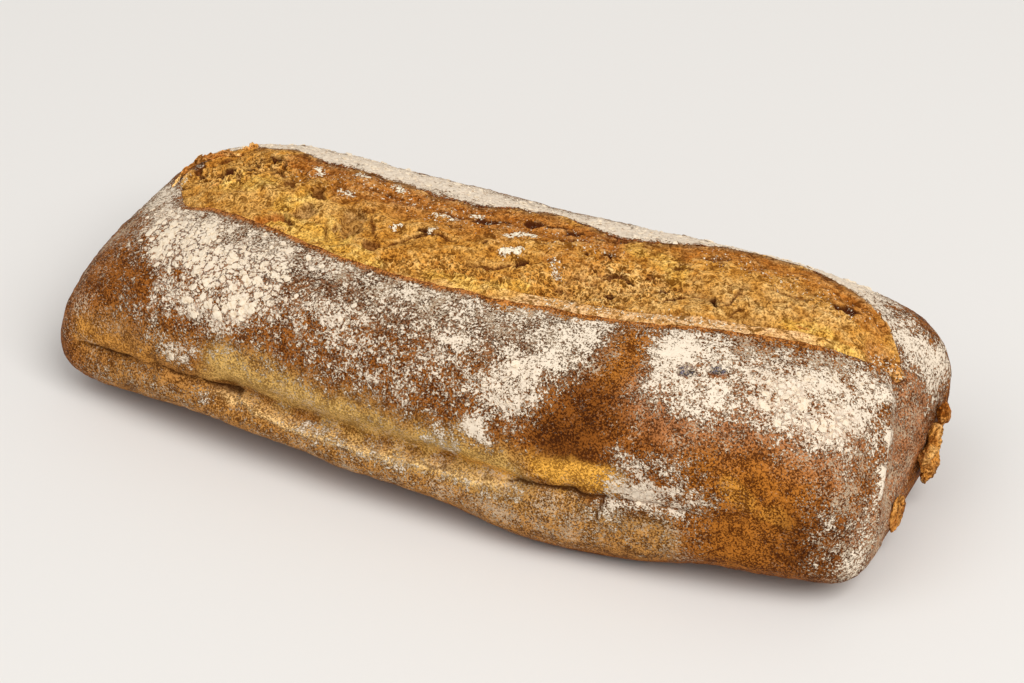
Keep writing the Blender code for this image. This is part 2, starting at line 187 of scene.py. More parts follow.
# Where the flour is caked and cracked into flakes; elsewhere it lies soft
CAKED_PATCHES = strokes(
    (((-118, -26, 63), (-90, -36, 68), (-62, -41, 69)), 14, 0.9),
    (((-104, -46, 60), (-66, -50, 62)), 9, 0.55), (((-45, -49, 65), (30, -54, 60)), 11, 0.15),
    (((-104, -55, 43), (-92, -57, 40)), 6, 0.3), (((70, -57, 40), (92, -56, 42)), 7, 0.32),
    (((112, -30, 70), (120, -34, 66), (134, -30, 62)), 8, 0.55),
    (((-120, 40, 60), (-44, 29, 74), (29, 27, 77), (110, 41, 68)), 12, 0.22))
# Rubbed clean of flour, in the same way
BARE_PATCHES = strokes(
    (((63, -30, 75), (63, -44, 69)), 5.5, 0.92), (((62, -50, 65), (56, -57, 55), (46, -59, 48)), 8.5, 0.97),
    (((78, -51, 62), (80, -53, 58)), 5, 0.85),
    (((106, -51, 52), (120, -47, 50), (120, -51, 38), (108, -54, 27)), 12.5, 0.98),
    (((-50, -41, 70), (-30, -40, 71)), 4, 0.35), (((138, 10, 52), (146, 2, 40)), 7, 0.45),
    (((127.5, -50, 36), (128, -50, 8)), 3.4, 0.95),
    # Cleared of flour so that the painted shade beside the right end's fold ridge shows
    (((142, 0, 57.5), (146, -12, 52), (148, -19, 43), (148.5, -28, 36)), 1, 0.8),
    (((82.5, -35.5, 72), (84, -34.5, 72)), 1.2, 0.95), (((92, -31.5, 73), (94, -30.5, 73)), 1.3, 0.95))
BARE_STRAY, RUBBED_VEIL = 0.0025, 0.93
# Dough pressed smooth, with little speckle
CALM_PATCHES = strokes(
    (((-78, -57, 37), (-45, -59, 36), (0, -60, 35), (30, -60, 33)), 9, 0.8),
    (((-132, -49, 30), (-112, -55, 32)), 6, 0.5), (((48, -60, 41), (67, -58, 41)), 6, 0.6))
# The grey-beige film of dust: thick near the split and over the shoulders
VEIL_PATCHES = strokes(
    (((-136, -16, 46), (-128, -10, 58), (-101, -17, 69), (-59, -32, 73), (0, -37, 74), (45, -35, 74)),
     12, 0.95), (((70, -28, 75), (100, -20, 75), (124, -12, 70)), 13, 0.95),
    (((76, -45, 67), (100, -44, 64), (128, -38, 58)), 13, 0.75),
    (((144, 6, 52), (148, -4, 36), (148, -18, 24)), 16, 0.85),
    (((-146, -38, 34), (-140, -24, 46)), 18, 0.36), (((-140, 4, 44), (-134, 4, 54), (-128, -6, 61)), 7, 1),
    (((128, -30, 62), (140, -30, 50), (146, -24, 36), (146, -30, 20)), 14, 0.5),
    (((-120, -45, 48), (-60, -55, 52), (20, -59, 52)), 12, 0.12),
    (((134, -45, 36), (142, -38, 26), (143, -36, 12)), 12, 0.35),
    (((106, -50, 56), (125, -46, 50), (134, -40, 46)), 8, 0.45),
    (((-130, -52, 18), (-80, -58, 18)), 6, 0.38), (((-60, -60, 19), (60, -60, 19)), 7, 0.5),
    (((30, -62, 22), (70, -58, 24), (88, -57, 22)), 9, 0.52), (((-50, -60, 36), (0, -61, 36)), 7, 0.35),
    (((-120, 36, 64), (-44, 24, 75), (29, 22, 77), (110, 36, 70)), 12, 0.95),
    (((90, -36, 70), (120, -32, 66), (134, -22, 62)), 12, 0.8))

# How the bare crust is baked
CHESTNUT, DARK_CHESTNUT = (120, 68, 22), (92, 48, 10)
ORANGE, GOLDEN, KHAKI = (136, 80, 24), (204, 146, 58), (190, 150, 82)
FOOT_BROWN, END_BROWN, EDGE_ORANGE = (152, 104, 50), (140, 90, 56), (170, 106, 36)
LIP_BROWN, ROLL_ORANGE, KHAKI_BROWN = (104, 56, 24), (186, 126, 52), (146, 108, 58)
BLUE_GREY, DUSKY_BROWN, EDGE_BROWN = (84, 78, 84), (98, 66, 44), (156, 96, 44)
BAKED_PATCHES = strokes(
    (((-101, -20, 69), (-60, -32, 73), (-20, -37, 74), (45, -36, 74)), 13, 0.8, DUSKY_BROWN),
    (((-130, -52, 30), (-112, -55, 34), (-92, -58, 32)), 11, 0.8, FOOT_BROWN),
    (((-85, -56, 40), (-40, -60, 40), (10, -61, 40), (40, -60, 40)), 6, 0.7, ORANGE),
    (((-72, -58, 38), (-45, -59, 35), (-15, -60, 33), (10, -60, 33), (28, -60, 32)), 10.5, 0.88, KHAKI),
    (((30, -62, 22), (60, -60, 24), (85, -57, 22)), 8, 0.75, KHAKI_BROWN),
    (((-30, -58, 29), (5, -58, 30), (30, -59, 31)), 3, 0.7, GOLDEN),
    (((-80, -57, 26), (-62, -59, 24), (-40, -60, 23)), 3.5, 0.6, ROLL_ORANGE),
    (((-134, -48, 30), (-120, -53, 31), (-108, -55, 33)), 5, 0.55, ROLL_ORANGE),
    (((-119, -53, 16), (-76, -59, 18), (-36, -61, 17), (1, -62, 15), (39, -62, 15), (79, -57, 16)),
     9, 0.85, FOOT_BROWN),
    (((104, -52, 50), (118, -48, 52), (120, -52, 34), (106, -55, 26)), 13, 0.92, ORANGE),
    (((106, -52, 48), (114, -51, 44)), 2.2, 0.24, GOLDEN),
    (((120, -50, 40), (124, -49, 36)), 2, 0.2, GOLDEN),
    (((62, -46, 67), (57, -55, 57), (52, -58, 51)), 10, 0.72, DARK_CHESTNUT),
    (((64, -32, 74), (63, -40, 71)), 7, 0.36, EDGE_ORANGE),
    (((47, -60, 39), (58, -59, 40), (67, -58, 40)), 5.6, 1, GOLDEN),
    # Painted shade: a dark line under the fold's overhang, just above the rim
    (((-78, -58, 30), (-50, -59, 28.8), (-20, -60, 28), (10, -60, 28.2)), 1.3, 0.6, CHESTNUT),
    (((82, -42, 68), (106, -38, 68), (130, -30, 62)), 14, 0.7, END_BROWN),
    (((82.5, -35.5, 72), (84, -34.5, 72)), 1.4, 1, BLUE_GREY),
    (((92, -31.5, 73), (94, -30.5, 73)), 1.5, 1, BLUE_GREY),
    # Painted shade: a dark line beside the right end's fold ridge
    (((142, 0, 57.5), (146, -12, 52), (148, -19, 43), (148.5, -28, 36)), 1.1, 0.8, DARK_CHESTNUT),
    (((134, -46, 30), (142, -38, 22)), 12, 0.8, DARK_CHESTNUT),
    (((146, 10, 45), (149, -6, 34), (148, -22, 24)), 16, 0.8, END_BROWN),
    (((10, -29, 76), (36, -28, 76), (55, -24, 77), (79, -16, 76), (103, -8, 75), (120, 0, 72)),
     1.8, 0.8, EDGE_ORANGE),
    (((-120, 58, 12), (-40, 55, 12), (40, 56, 12), (120, 60, 12)), 10, 0.75, FOOT_BROWN),
    (((-90, 56, 38), (-62, 52, 44)), 14, 0.6, EDGE_ORANGE),
    (((0, 50, 48), (34, 50, 50)), 12, 0.5, DARK_CHESTNUT),
    (((70, 56, 30), (104, 60, 34)), 14, 0.55, FOOT_BROWN),
    (((-146, 10, 30), (-148, -14, 26)), 16, 0.55, FOOT_BROWN))
BAKED_STRAY, BAKED_SIZE, BAKED_RIM = 0.004, 0.012, (0.4, 1.6)
LIP_TINT_WIDTH, EDGE_TINT_WIDTH, EDGE_TINT, EDGE_STRIP = 0.0008, 0.0006, 0.3, 0.85
LIP_CLEAR, EDGE_CLEAR = (0.0001, 0.0011), (0.0006, 0.003)    # no flour this near the edges
SPLIT_TIPS = (-0.126, -0.108), (0.112, 0.128)                # but the split's tips are dusted over
TORN_BROWN, TORN_EDGE = (186, 122, 56), (0.0001, 0.0007)      # the crust's torn side
# Painted shade in the cracks of the front creases
CRACK_SHADE_BROWN = (74, 40, 14)
# The fold's bead: a pale cream, partly the dough's own and partly painted highlight where the ledge faces
# the light
BEAD_HIGHLIGHT_CREAM, BEAD_HIGHLIGHT_SHARE = (214, 176, 118), 0.65


def through(points, at):
    """The value at `at` of a smooth line through (position, value) points."""
    places, values = np.array(points).T
    slopes = np.gradient(values, places)
    i = np.clip(np.searchsorted(places, at) - 1, 0, len(places) - 2)
    width = places[i + 1] - places[i]
    t = np.clip((at - places[i]) / width, 0, 1)
    rise = t * t * (3 - 2 * t)
    return (values[i] * (1 - rise) + values[i + 1] * rise
            + width * (t * (1 - t) ** 2 * slopes[i] - t * t * (1 - t) * slopes[i + 1]))


def bell(distance, half_width):
    """One at the middle, fading to nothing over about two half widths."""
    return np.exp(-(distance / half_width) ** 2)


def ramp(value, start, end):
    """A smooth step from 0 at start to 1 at end."""
    t = np.clip((value - start) / (end - start), 0, 1)
    return t * t * (3 - 2 * t)


def between(value, start, end):
    """One between two smooth steps, and 0 outside them."""
    return ramp(value, *start) * (1 - ramp(value, *end))


def uneven(points, size, octaves):
    """Fractal noise at each point, with lumps of the given size."""
    return np.array([noise.fractal(Vector(p), 1.0, 2.0, octaves) for p in points / size])


def strays(points, shifts, size, octaves):
    """Noise several ways at once, one way for each shift, to bend places with."""
    return np.column_stack([uneven(points + shift, size, octaves) for shift in shifts])


def rounded(share, power):
    """A quarter outline that is 1 at the middle and closes at share 1."""
    return np.maximum(1 - np.abs(share) ** power, 0) ** (1 / power)


def bar(station, turn):
    """Points of the plain bar: station from -1 to 1 along it, turn in radians from the back."""
    across, up = np.cos(turn), np.sin(turn)
    left = station < 0
    blunt = rounded(station, np.where(left, END_LEFT, END_RIGHT))
    droop = rounded(station, np.where(left, DROOP_LEFT, DROOP_RIGHT))
    middle = 1 - station ** 2
    front = across < 0
    reach = blunt * np.where(front, FRONT_REACH + FRONT_BELLY * middle,
                             BACK_REACH - BACK_HOLLOW * middle)

    shoulder = 2 / np.where(front, FRONT_SHOULDER, BACK_SHOULDER)
    height = HEIGHT + TALLER_RIGHT * station
    upper_y = reach * np.sign(across) * np.abs(across) ** shoulder
    upper_z = WIDEST_HEIGHT + (height - WIDEST_HEIGHT) * np.abs(up) ** shoulder * droop

    below = np.arcsin(np.minimum(np.abs(up), 1))
    curled = np.minimum(below / CURL_TURN, 1) * np.pi / 2
    inward = np.clip((np.pi / 2 - below) / (np.pi / 2 - CURL_TURN), 0, 1)
    edge = 2 / CURLED_EDGE
    lower_y = reach * np.sign(across) * (FLAT_SHARE * inward
                                         + (1 - FLAT_SHARE) * np.maximum(np.cos(curled), 0) ** edge)
    lower_z = WIDEST_HEIGHT - (WIDEST_HEIGHT + BASE_CUT) * np.sin(curled) ** edge * droop

    y = np.where(up >= 0, upper_y, lower_y)
    z = np.where(up >= 0, upper_z, lower_z)
    foot = through(FOOT_LIFT, LENGTH / 2 * station) * blunt
    z = z + foot * np.clip(-across, 0, 1) * np.clip(1 - z / CURL_REACH, 0, 1)
    y = y + LEAN * z / height
    x = (LENGTH / 2 - END_SETBACK * ramp(station, 0, 1)) * station
    return np.stack([x, y, np.maximum(z, 0)], axis=-1)


def distance_to_line(points, line):
    """Distance from each point to a line of points, in plan where the line is given in plan."""
    nearest = np.full(len(points), np.inf)
    line = np.array(line)
    points = points[:, :line.shape[1]]
    for start, end in zip(line[:-1], line[1:]):
        step = end - start
        share = np.clip((points - start) @ step / (step @ step), 0, 1)
        gap = np.linalg.norm(points - start - share[:, None] * step, axis=1)
        nearest = np.minimum(nearest, gap)
    return nearest


def bells(points, lines):
    """How strongly each line, given with its half width and strength, bears on the points."""
    return [strength * bell(distance_to_line(points, line), half_width)
            for line, half_width, strength in lines]


def split_edges(x):
    """The front and back edges of the split at x, in plan, ragged as torn crust is."""
    places = np.stack([x, np.zeros_like(x), np.zeros_like(x)], axis=-1)
    torn = RAGGED * uneven(places.reshape(-1, 3), RAGGED_SIZE, 3).reshape(np.shape(x))
    fade = ramp(np.minimum(x - SPLIT_FRONT[0][0], SPLIT_FRONT[-1][0] - x), 0, RAGGED_FADE)
    return through(SPLIT_FRONT, x) + torn * fade / 2, through(SPLIT_BACK, x) - torn * fade


def split_places(places):
    """Distances in from the split's front and back edges and ends, and how far each is on top."""
    x, y, z = places.T
    front_edge, back_edge = split_edges(x)
    from_end = np.minimum(x - SPLIT_FRONT[0][0], SPLIT_FRONT[-1][0] - x)
    return y - front_edge, back_edge - y, from_end, ramp(z, *TOP_BLEND)


def lip_relief(places):
    """The raised lips beside the split: lift, slide to the back, and how far each is inside."""
    from_front, from_back, from_end, on_top = split_places(places)
    nearest = np.minimum(np.minimum(from_front, from_back), from_end)
    inside = ramp(nearest, 0, EDGE_WIDTH) * on_top
    beside = (1 - inside) * on_top
    ragged = 1 + LIP_UNEVEN * uneven(places, LIP_UNEVEN_SIZE, 2)
    near_ends = ramp(from_end, -LIP_WIDTH, LIP_WIDTH)
    back_lip = beside * near_ends * bell(from_back, LIP_WIDTH) * ragged
    front_lip = beside * near_ends * bell(from_front, FRONT_LIP_WIDTH)
    lift = LIP_HEIGHT * (back_lip + FRONT_LIP_SHARE * front_lip)
    slide = LIP_OVERHANG * (inside * bell(from_back, OVERHANG_WIDTH) - back_lip)
    return lift, slide, inside


def front_relief(places):
    """Creases, the sharp fold over them and the rolled rim, low on the front; then the painted shade of the
    cracks, and the bead, whose colour is partly painted highlight.
    """
    x, y, z = places.T
    on_front = ramp(-y, *FRONT_BLEND)
    flat = places[:, (0, 2)]
    lift = -sum(bells(flat, CREASES))
    cut, crack = np.zeros(len(places)), np.zeros(len(places))
    ragged = strays(places, (0.2, 0.7), CRACK_STRAY_SIZE, 2)
    for line, half_width, depth in SHARP_CREASES:
        distance = distance_to_line(flat + CRACK_STRAY * ragged, line)
        cut = np.maximum(cut, depth * bell(distance, half_width))
        crack = np.maximum(crack, min(1, depth / CRACK_DEPTH) * (1 - ramp(distance, *CRACK_EDGE)))
    wander = FOLD_STRAY * uneven(places, FOLD_SIZE, 2)
    above = z - through(FOLD_LINE, x) - wander
    along = between(x, *FOLD_ENDS)
    lift = lift - FOLD_DEPTH * along * ramp(above, *FOLD_EDGE) * (1 - ramp(above, *FOLD_REACH))
    bead = along * bell(above + FOLD_BEAD_HALF / 2, FOLD_BEAD_HALF)
    rim = FOOT_RIM_SWELL * between(x, *FOOT_RIM_ENDS) * bell(z - FOOT_RIM_HEIGHT, FOOT_RIM_HALF)
    return on_front * (lift - cut + FOLD_BEAD * bead + rim), on_front * crack, on_front * bead


def end_relief(places):
    """Tucked folds on the right end, and how far its torn crumb stands out along X."""
    x, y, z = places.T
    lift = sum(bells(places[:, 1:], END_FOLDS))
    crumb = np.zeros(len(places))
    torn = 1 + END_CRUMB_ROUGH * uneven(places, END_CRUMB_GRAIN, 3)
    for crumb_y, crumb_z, half_y, half_z, reach in END_CRUMB:
        place = np.hypot((y - crumb_y) / half_y, (z - crumb_z) / half_z)
        crumb = np.maximum(crumb, reach * (1 - ramp(place, *END_CRUMB_RIM)) * torn)
    return ramp(x, *END_BLEND) * lift, ramp(x, *END_CRUMB_BLEND) * crumb


def slow_relief(places):
    """The broad unevenness of the dough."""
    lift = UNEVEN_HEIGHT * uneven(places, UNEVEN_SIZE, 2)
    for *middle, size, height in SWELLINGS:
        lift = lift + height * bell(np.linalg.norm(places - middle, axis=1), size)
    return lift


def unit(vectors):
    return vectors / np.maximum(np.linalg.norm(vectors, axis=-1, keepdims=True), 1e-12)


def grid_normals(grid):
    """Outward normals of a grid of points, rings first, that closes round the loaf."""
    around = np.roll(grid, -1, axis=1) - np.roll(grid, 1, axis=1)
    return unit(np.cross(around, np.gradient(grid, axis=0)))


def painted(points, patches, stray, size):
    """How far patches cover each point, from 0 to 1, with their edges straying."""
    wander = stray * uneven(points, size, 3)
    cover = np.zeros(len(points))
    for line, half_width, amount in patches:
        distance = np.maximum(distance_to_line(points, line) + wander, 0)
        cover = cover + (1 - cover) * amount * bell(distance, FLOUR_SPREAD * half_width)
    return cover


def linear(colour):
    """A colour picked as 0 to 255 on a screen, as linear light."""
    share = np.array(colour, float) / 255
    return np.where(share > 0.04045, ((share + 0.055) / 1.055) ** 2.4, share / 12.92)


def tinted(colours, share, colour):
    """Colours drawn to another one by a share for each point."""
    return colours + share[:, None] * (linear(colour) - colours)


def baked_colour(points, ground, patches):
    """The colour of each point: a ground with coloured strokes over it."""
    colours = np.tile(linear(ground), (len(points), 1))
    wander = BAKED_STRAY * uneven(points, BAKED_SIZE, 3)
    for line, half_width, amount, colour in patches:
        distance = distance_to_line(points, line) + wander
        cover = amount * (1 - ramp(distance, *np.multiply(BAKED_RIM, half_width)))
        colours = tinted(colours, cover, colour)
    return colours


def step_lengths(points):
    """The length of each step from point to point."""
    return np.linalg.norm(np.diff(points, axis=0), axis=1)


def spread_stations(count):
    """Stations along the loaf, evenly spaced over its blunt ends too."""
    station = np.sin(np.linspace(-np.pi / 2, np.pi / 2, FINE_STEPS))
    outline = bar(station, np.full(FINE_STEPS, np.pi))
    crown = bar(station, np.full(FINE_STEPS, np.pi / 2))
    travelled = np.concatenate([[0], np.cumsum(step_lengths(outline) + step_lengths(crown))])
    return np.interp(np.linspace(0, travelled[-1], count + 2)[1:-1], travelled, station)


def crust_turns(station):
    """Turns round one ring of the crust, with a point on each edge of the split."""
    fine = np.linspace(0, 2 * np.pi, FINE_STEPS)
    section = bar(np.full(FINE_STEPS, station), fine)
    upper = fine <= np.pi
    edges = np.array(split_edges(section[:1, 0])).ravel()
    edges = edges * min(1, rounded(station, END_RIGHT) / rounded(SPLIT_SHARE, END_RIGHT))
    split_front, split_back = np.interp(-edges, -section[upper, 1], fine[upper])
    limits = (0.0, split_back, split_front, np.pi, np.pi + CURL_TURN, 2 * np.pi - CURL_TURN, 2 * np.pi)
    travelled = np.concatenate([[0], np.cumsum(step_lengths(section))])
    turns = []
    for start, end, count in zip(limits[:-1], limits[1:], RING_POINTS):
        reach = np.interp((start, end), fine, travelled)
        turns.append(np.interp(np.linspace(*reach, count + 1)[:-1], travelled, fine))
    return np.concatenate(turns)


def grid_places(stations, turns_at):
    """The station and the turn of each point of a grid, one ring for each station."""
    turn = np.array([turns_at(station) for station in stations])
    return np.repeat(stations[:, None], turn.shape[1], axis=1), turn


def ring_mesh(rings, name):
    """A closed mesh over rings of points, its ends drawn together, with a map round it."""
    count, around = rings.shape[:2]
    tips = [rings[0].mean(axis=0), rings[-1].mean(axis=0)]
    first_tip = count * around
    ring, place = (a.ravel() for a in np.meshgrid(np.arange(count - 1), np.arange(around), indexing="ij"))
    beside = (place + 1) % around
    quads = np.stack([ring * around + place, ring * around + beside,
                      (ring + 1) * around + beside, (ring + 1) * around + place], axis=1)
    place = np.arange(around)
    beside = (place + 1) % around
    last = (count - 1) * around
    start_fan = np.stack([beside, place, np.full(around, first_tip)], axis=1)
    end_fan = np.stack([last + place, last + beside, np.full(around, first_tip + 1)], axis=1)

    mesh = bpy.data.meshes.new(name)
    points = np.concatenate([rings.reshape(-1, 3), tips])
    mesh.from_pydata(points.tolist(), [], quads.tolist() + start_fan.tolist() + end_fan.tolist())

    u = (np.arange(count) + 1) / (count + 1)
    v = np.arange(around + 1) / around
    low, high = u[:-1, None], u[1:, None]
    here, there = v[None, :-1], v[None, 1:]
    corners = np.broadcast_arrays(low, here, low, there, high, there, high, here)
    places = [np.stack(corners, axis=-1).reshape(-1, 2)]
    for edge, tip, first, second in ((u[0], 0.0, v[1:], v[:-1]), (u[-1], 1.0, v[:-1], v[1:])):
        fan = np.stack([np.full(around, edge), first, np.full(around, edge), second,
                        np.full(around, tip), (first + second) / 2], axis=1)
        places.append(fan.reshape(-1, 2))
    bake_map = mesh.uv_layers.new(name="OFBake")
    bake_map.data.foreach_set("uv", np.concatenate(places).astype(np.float32).ravel())
    mesh.shade_smooth()
    return mesh


def keep(mesh, **kept):
    """Stores numbers or colours for the points of a ring mesh, whose two tips come last."""
    for name, values in kept.items():
        values = np.concatenate([values, values[:1], values[-1:]]).astype(np.float32)
        if values.ndim == 1:
            mesh.attributes.new(name, "FLOAT", "POINT").data.foreach_set("value", values)
        else:
            values = np.column_stack([values, np.ones(len(values), np.float32)])
            mesh.attributes.new(name, "FLOAT_COLOR", "POINT").data.foreach_set("color", values.ravel())


def show(mesh):
    """Puts a mesh in the scene as an object at the origin."""
    piece = bpy.data.objects.new(mesh.name, mesh)
    bpy.context.scene.collection.objects.link(piece)
    return piece


grid = bar(*grid_places(spread_stations(CRUST_RINGS), crust_turns))
normals = grid_normals(grid).reshape(-1, 3)
places = grid.reshape(-1, 3)
spots = places + CENTRE_SHIFT

from_front, from_back, from_end, on_top = split_places(places)
in_split = np.minimum(from_end, np.minimum(from_front, from_back))
clear_of_lip = 1 - on_top * (from_end > 0) * (1 - ramp(-from_back, *LIP_CLEAR))
clear_of_edge = 1 - on_top * (from_end > 0) * (1 - ramp(-from_front, *EDGE_CLEAR))
clear = np.where(from_back < from_front, clear_of_lip, clear_of_edge)
clear = np.where(from_front + from_back > 0, clear, 1)
off_tips = between(spots[:, 0], *SPLIT_TIPS)
clear = np.maximum(clear, 1 - off_tips)
flour = painted(spots, FLOUR_PATCHES, FLOUR_STRAY, FLOUR_STRAY_SIZE)
caked = painted(spots, CAKED_PATCHES, FLOUR_STRAY, FLOUR_STRAY_SIZE)
rubbed = painted(spots, BARE_PATCHES, BARE_STRAY, FLOUR_STRAY_SIZE)
flour = flour * (1 - rubbed) * clear
veil = painted(spots, VEIL_PATCHES, FLOUR_STRAY, FLOUR_STRAY_SIZE) * (1 - RUBBED_VEIL * rubbed) * clear
baked = baked_colour(spots, CHESTNUT, BAKED_PATCHES)
lip = on_top * (bell(from_back, LIP_TINT_WIDTH) + EDGE_TINT * bell(from_front, EDGE_TINT_WIDTH))
lip = np.clip(lip * (from_end > 0) * off_tips, 0, 1)
strip = EDGE_STRIP * on_top * (from_end > 0) * (1 - ramp(-from_front, *EDGE_CLEAR)) * off_tips
baked = tinted(baked, strip * (np.abs(from_front) < np.abs(from_back)), EDGE_BROWN)
baked = tinted(baked, lip, LIP_BROWN)
front_lift, crack, bead = front_relief(places)
# Partly painted highlight, partly the dough's own pale cream, along the fold's bead
baked = tinted(baked, BEAD_HIGHLIGHT_SHARE * bead, BEAD_HIGHLIGHT_CREAM)
baked = tinted(baked, on_top * ramp(in_split, *TORN_EDGE), TORN_BROWN)

split_lift, slide, inside = lip_relief(places)
off_base = ramp(places[:, 2], *BASE_BLEND)
end_lift, crumb_reach = end_relief(places)
fine = (BLISTER_HEIGHT * uneven(places, BLISTER_SIZE, 4) + PIMPLE_HEIGHT * uneven(places, PIMPLE_SIZE, 2)
        + flour * (FLOUR_THICK + FLOUR_CAKE * np.maximum(uneven(places, FLOUR_CAKE_SIZE, 2), 0)))
lift = split_lift + off_base * (slow_relief(places) + end_lift + front_lift + fine)
lift = lift - TROUGH * on_top * ramp(in_split, 0, TROUGH_EDGE)
points = spots + normals * lift[:, None]
points[:, 0] += END_CRUMB_SHARE * off_base * crumb_reach
points[:, 1] += slide
points = np.clip(points, cad_low, cad_high)

crust_mesh = ring_mesh(points.reshape(grid.shape), "floured_crust")
calm = painted(spots, CALM_PATCHES, BARE_STRAY, FLOUR_STRAY_SIZE)
keep(crust_mesh, flour=flour, veil=veil, caked=caked, baked=baked, crack=crack, calm=calm)
crust = show(crust_mesh)


class Socket:
    """An output in a node tree.  Arithmetic on it adds Math nodes."""

    def __init__(self, tree, output=None):
        self.tree, self.output = tree, output

    def feed(self, made, inputs):
        """Links a node's sockets to others, or sets their values."""
        for name, value in inputs.items():
            if isinstance(value, Socket):
                self.tree.links.new(value.output, made.inputs[name])
            else:
                made.inputs[name].default_value = value

    def node(self, kind, inputs=None, output=0, **settings):
        """Adds a node of any kind with its settings, and says what its sockets get."""
        made = self.tree.nodes.new(kind)
        for name, value in settings.items():
            setattr(made, name, value)
        self.feed(made, inputs or {})
        return Socket(self.tree, made.outputs[output])

    def math(self, operation, first, second=0.0):
        return self.node("ShaderNodeMath", {0: first, 1: second}, operation=operation)

    def __add__(self, other):
        return self.math("ADD", self, other)

    def __sub__(self, other):
        return self.math("SUBTRACT", self, other)

    def __rsub__(self, other):
        return self.math("SUBTRACT", other, self)

    def __mul__(self, other):
        return self.math("MULTIPLY", self, other)

    def __pow__(self, other):
        return self.math("POWER", self, other)

    def __abs__(self):
        return self.math("ABSOLUTE", self)

    __radd__, __rmul__ = __add__, __mul__

    def limit(self):
        return self.math("MINIMUM", self.math("MAXIMUM", self, 0.0), 1.0)

    def step(self, start, end):
        """A smooth step from 0 at start to 1 at end; either may be a socket."""
        return self.node("ShaderNodeMapRange", {"Value": self, "From Min": start, "From Max": end},
                         interpolation_type="SMOOTHSTEP")

    def noise(self, size, detail=2.0, roughness=0.5, output=0):
        """Noise from 0 to 1 with lumps of the given size in metres; self is the place."""
        return self.node("ShaderNodeTexNoise", {"Vector": self, "Scale": 1 / size, "Detail": detail,
                                                "Roughness": roughness}, output)

    def bent(self, size, reach):
        """A place bent to and fro by noise of the given size."""
        three = self.noise(size, output="Color").plus((-0.5, -0.5, -0.5))
        return self.plus(three.times(reach))

    def cells(self, size, feature="F1", output="Distance"):
        """Distances in a pattern of cells of the given size; self is the place."""
        return self.node("ShaderNodeTexVoronoi", {"Vector": self, "Scale": 1 / size}, output,
                         feature=feature)

    def times(self, share):
        """A colour or a vector made stronger or weaker."""
        return self.node("ShaderNodeVectorMath", {0: self, "Scale": share}, operation="SCALE")

    def by(self, other):
        """A colour with each of its parts made stronger or weaker."""
        return self.node("ShaderNodeVectorMath", {0: self, 1: other}, operation="MULTIPLY")

    def plus(self, other):
        """The sum of two vectors."""
        return self.node("ShaderNodeVectorMath", {0: self, 1: other}, operation="ADD")

    def bump(self, strength, depth):
        """Relief made from a height."""
        return self.node("ShaderNodeBump", {"Strength": strength, "Distance": depth, "Height": self})

    def mix(self, first, second, share):
        """Two colours mixed."""
        return self.node("ShaderNodeMix", {"Factor": share, 6: first, 7: second}, 2, data_type="RGBA")

    def kept(self, name, output="Fac"):
        """A value kept on the mesh."""
        return self.node("ShaderNodeAttribute", output=output, attribute_name=name)


def finish_material(name):
    """A new material: its tree's start, its shader node, and the place on the piece."""
    material = bpy.data.materials.new(name)
    material.use_nodes = True
    tree = material.node_tree
    start = Socket(tree)
    place = start.node("ShaderNodeTexCoord", output="Object")
    return material, start, tree.nodes["Principled BSDF"], place


def rgba(colour):
    return (*linear(colour), 1.0)


FLOUR_WHITE, FLOUR_CREAM = (240, 224, 202), (218, 195, 164)
DUST_BEIGE = (216, 190, 158)

crust_finish, start, shader, place = finish_material("floured crust")
tint = start.kept("baked", "Color")
flour_here, veil_here, caked_here = (start.kept(name) for name in ("flour", "veil", "caked"))
mottle = place.noise(0.005, 3.0, 0.6)
speck = place.noise(0.0007, 2.0, 0.8)
grain = (0.3 * mottle + 0.7 * speck).step(0.44, 0.58)
skin = start.mix(tint.by((0.38, 0.29, 0.15)), tint.by((1.96, 2.1, 2.3)), grain)
skin = start.mix(skin, tint, 0.55 * start.kept("calm"))
# Painted shade in the cracks of the creases, which no flour or dust covers
crack_here = start.kept("crack").step(0.15, 0.85)
skin = start.mix(skin, rgba(CRACK_SHADE_BROWN), 0.85 * crack_here)

fine_flour = place.plus((0.3, 0.1, 0.2)).noise(0.00075, 2.0, 0.85)
lump = place.noise(0.002, 3.0, 0.65)
drift = place.noise(0.006)
field = 0.52 * fine_flour + 0.33 * lump + 0.15 * drift
level = 0.6 - 0.19 * flour_here - 0.06 * flour_here ** 6.0
softness = 0.03 * (1.0 - caked_here)
cover = field.step(level - 0.008 - softness, level + 0.026 + softness) * (flour_here * 12.0).limit()
cover = cover * (1.0 - crack_here)
bent = place.bent(0.001, 0.0011)
present = start.node("ShaderNodeSeparateColor", {"Color": bent.cells(0.0026, output="Color")}, "Red")
gap = bent.cells(0.0026, "DISTANCE_TO_EDGE")
share = (flour_here + 1.2 * (drift - 0.5)).step(0.62, 1.1)
flake = present.step(share, share - 0.06) * gap.step(0.09, 0.2) * caked_here
cracked = 1.0 - caked_here * (1.0 - gap.step(0.03, 0.15))
cover = cover.math("MAXIMUM", cover * cracked, flake)
cloud = place.noise(0.0085, 2.0, 0.6)
dust_level = 0.62 - 0.15 * veil_here - 0.36 * (cloud - 0.5)
dust = (0.8 * fine_flour + 0.2 * lump).step(dust_level - 0.02, dust_level + 0.05)
dust = dust * (veil_here * 6.0).limit() * (1.0 - 0.8 * caked_here) * (1.0 - crack_here)
powder = start.mix(rgba(FLOUR_CREAM), rgba(FLOUR_WHITE), field.step(level, level + 0.08))
dusted = start.mix(skin, rgba(DUST_BEIGE), dust * 0.82)
colour = start.mix(dusted, powder, cover * 0.96)
height = 0.45 * speck + cover * (0.5 + 0.6 * lump)
start.feed(shader, {"Base Color": colour, "Roughness": 0.62 + 0.32 * cover,
                    "Normal": height.bump(0.9, 0.0006), "Specular IOR Level": 0.05})
crust_mesh.materials.append(crust_finish)
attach(crust, "root")
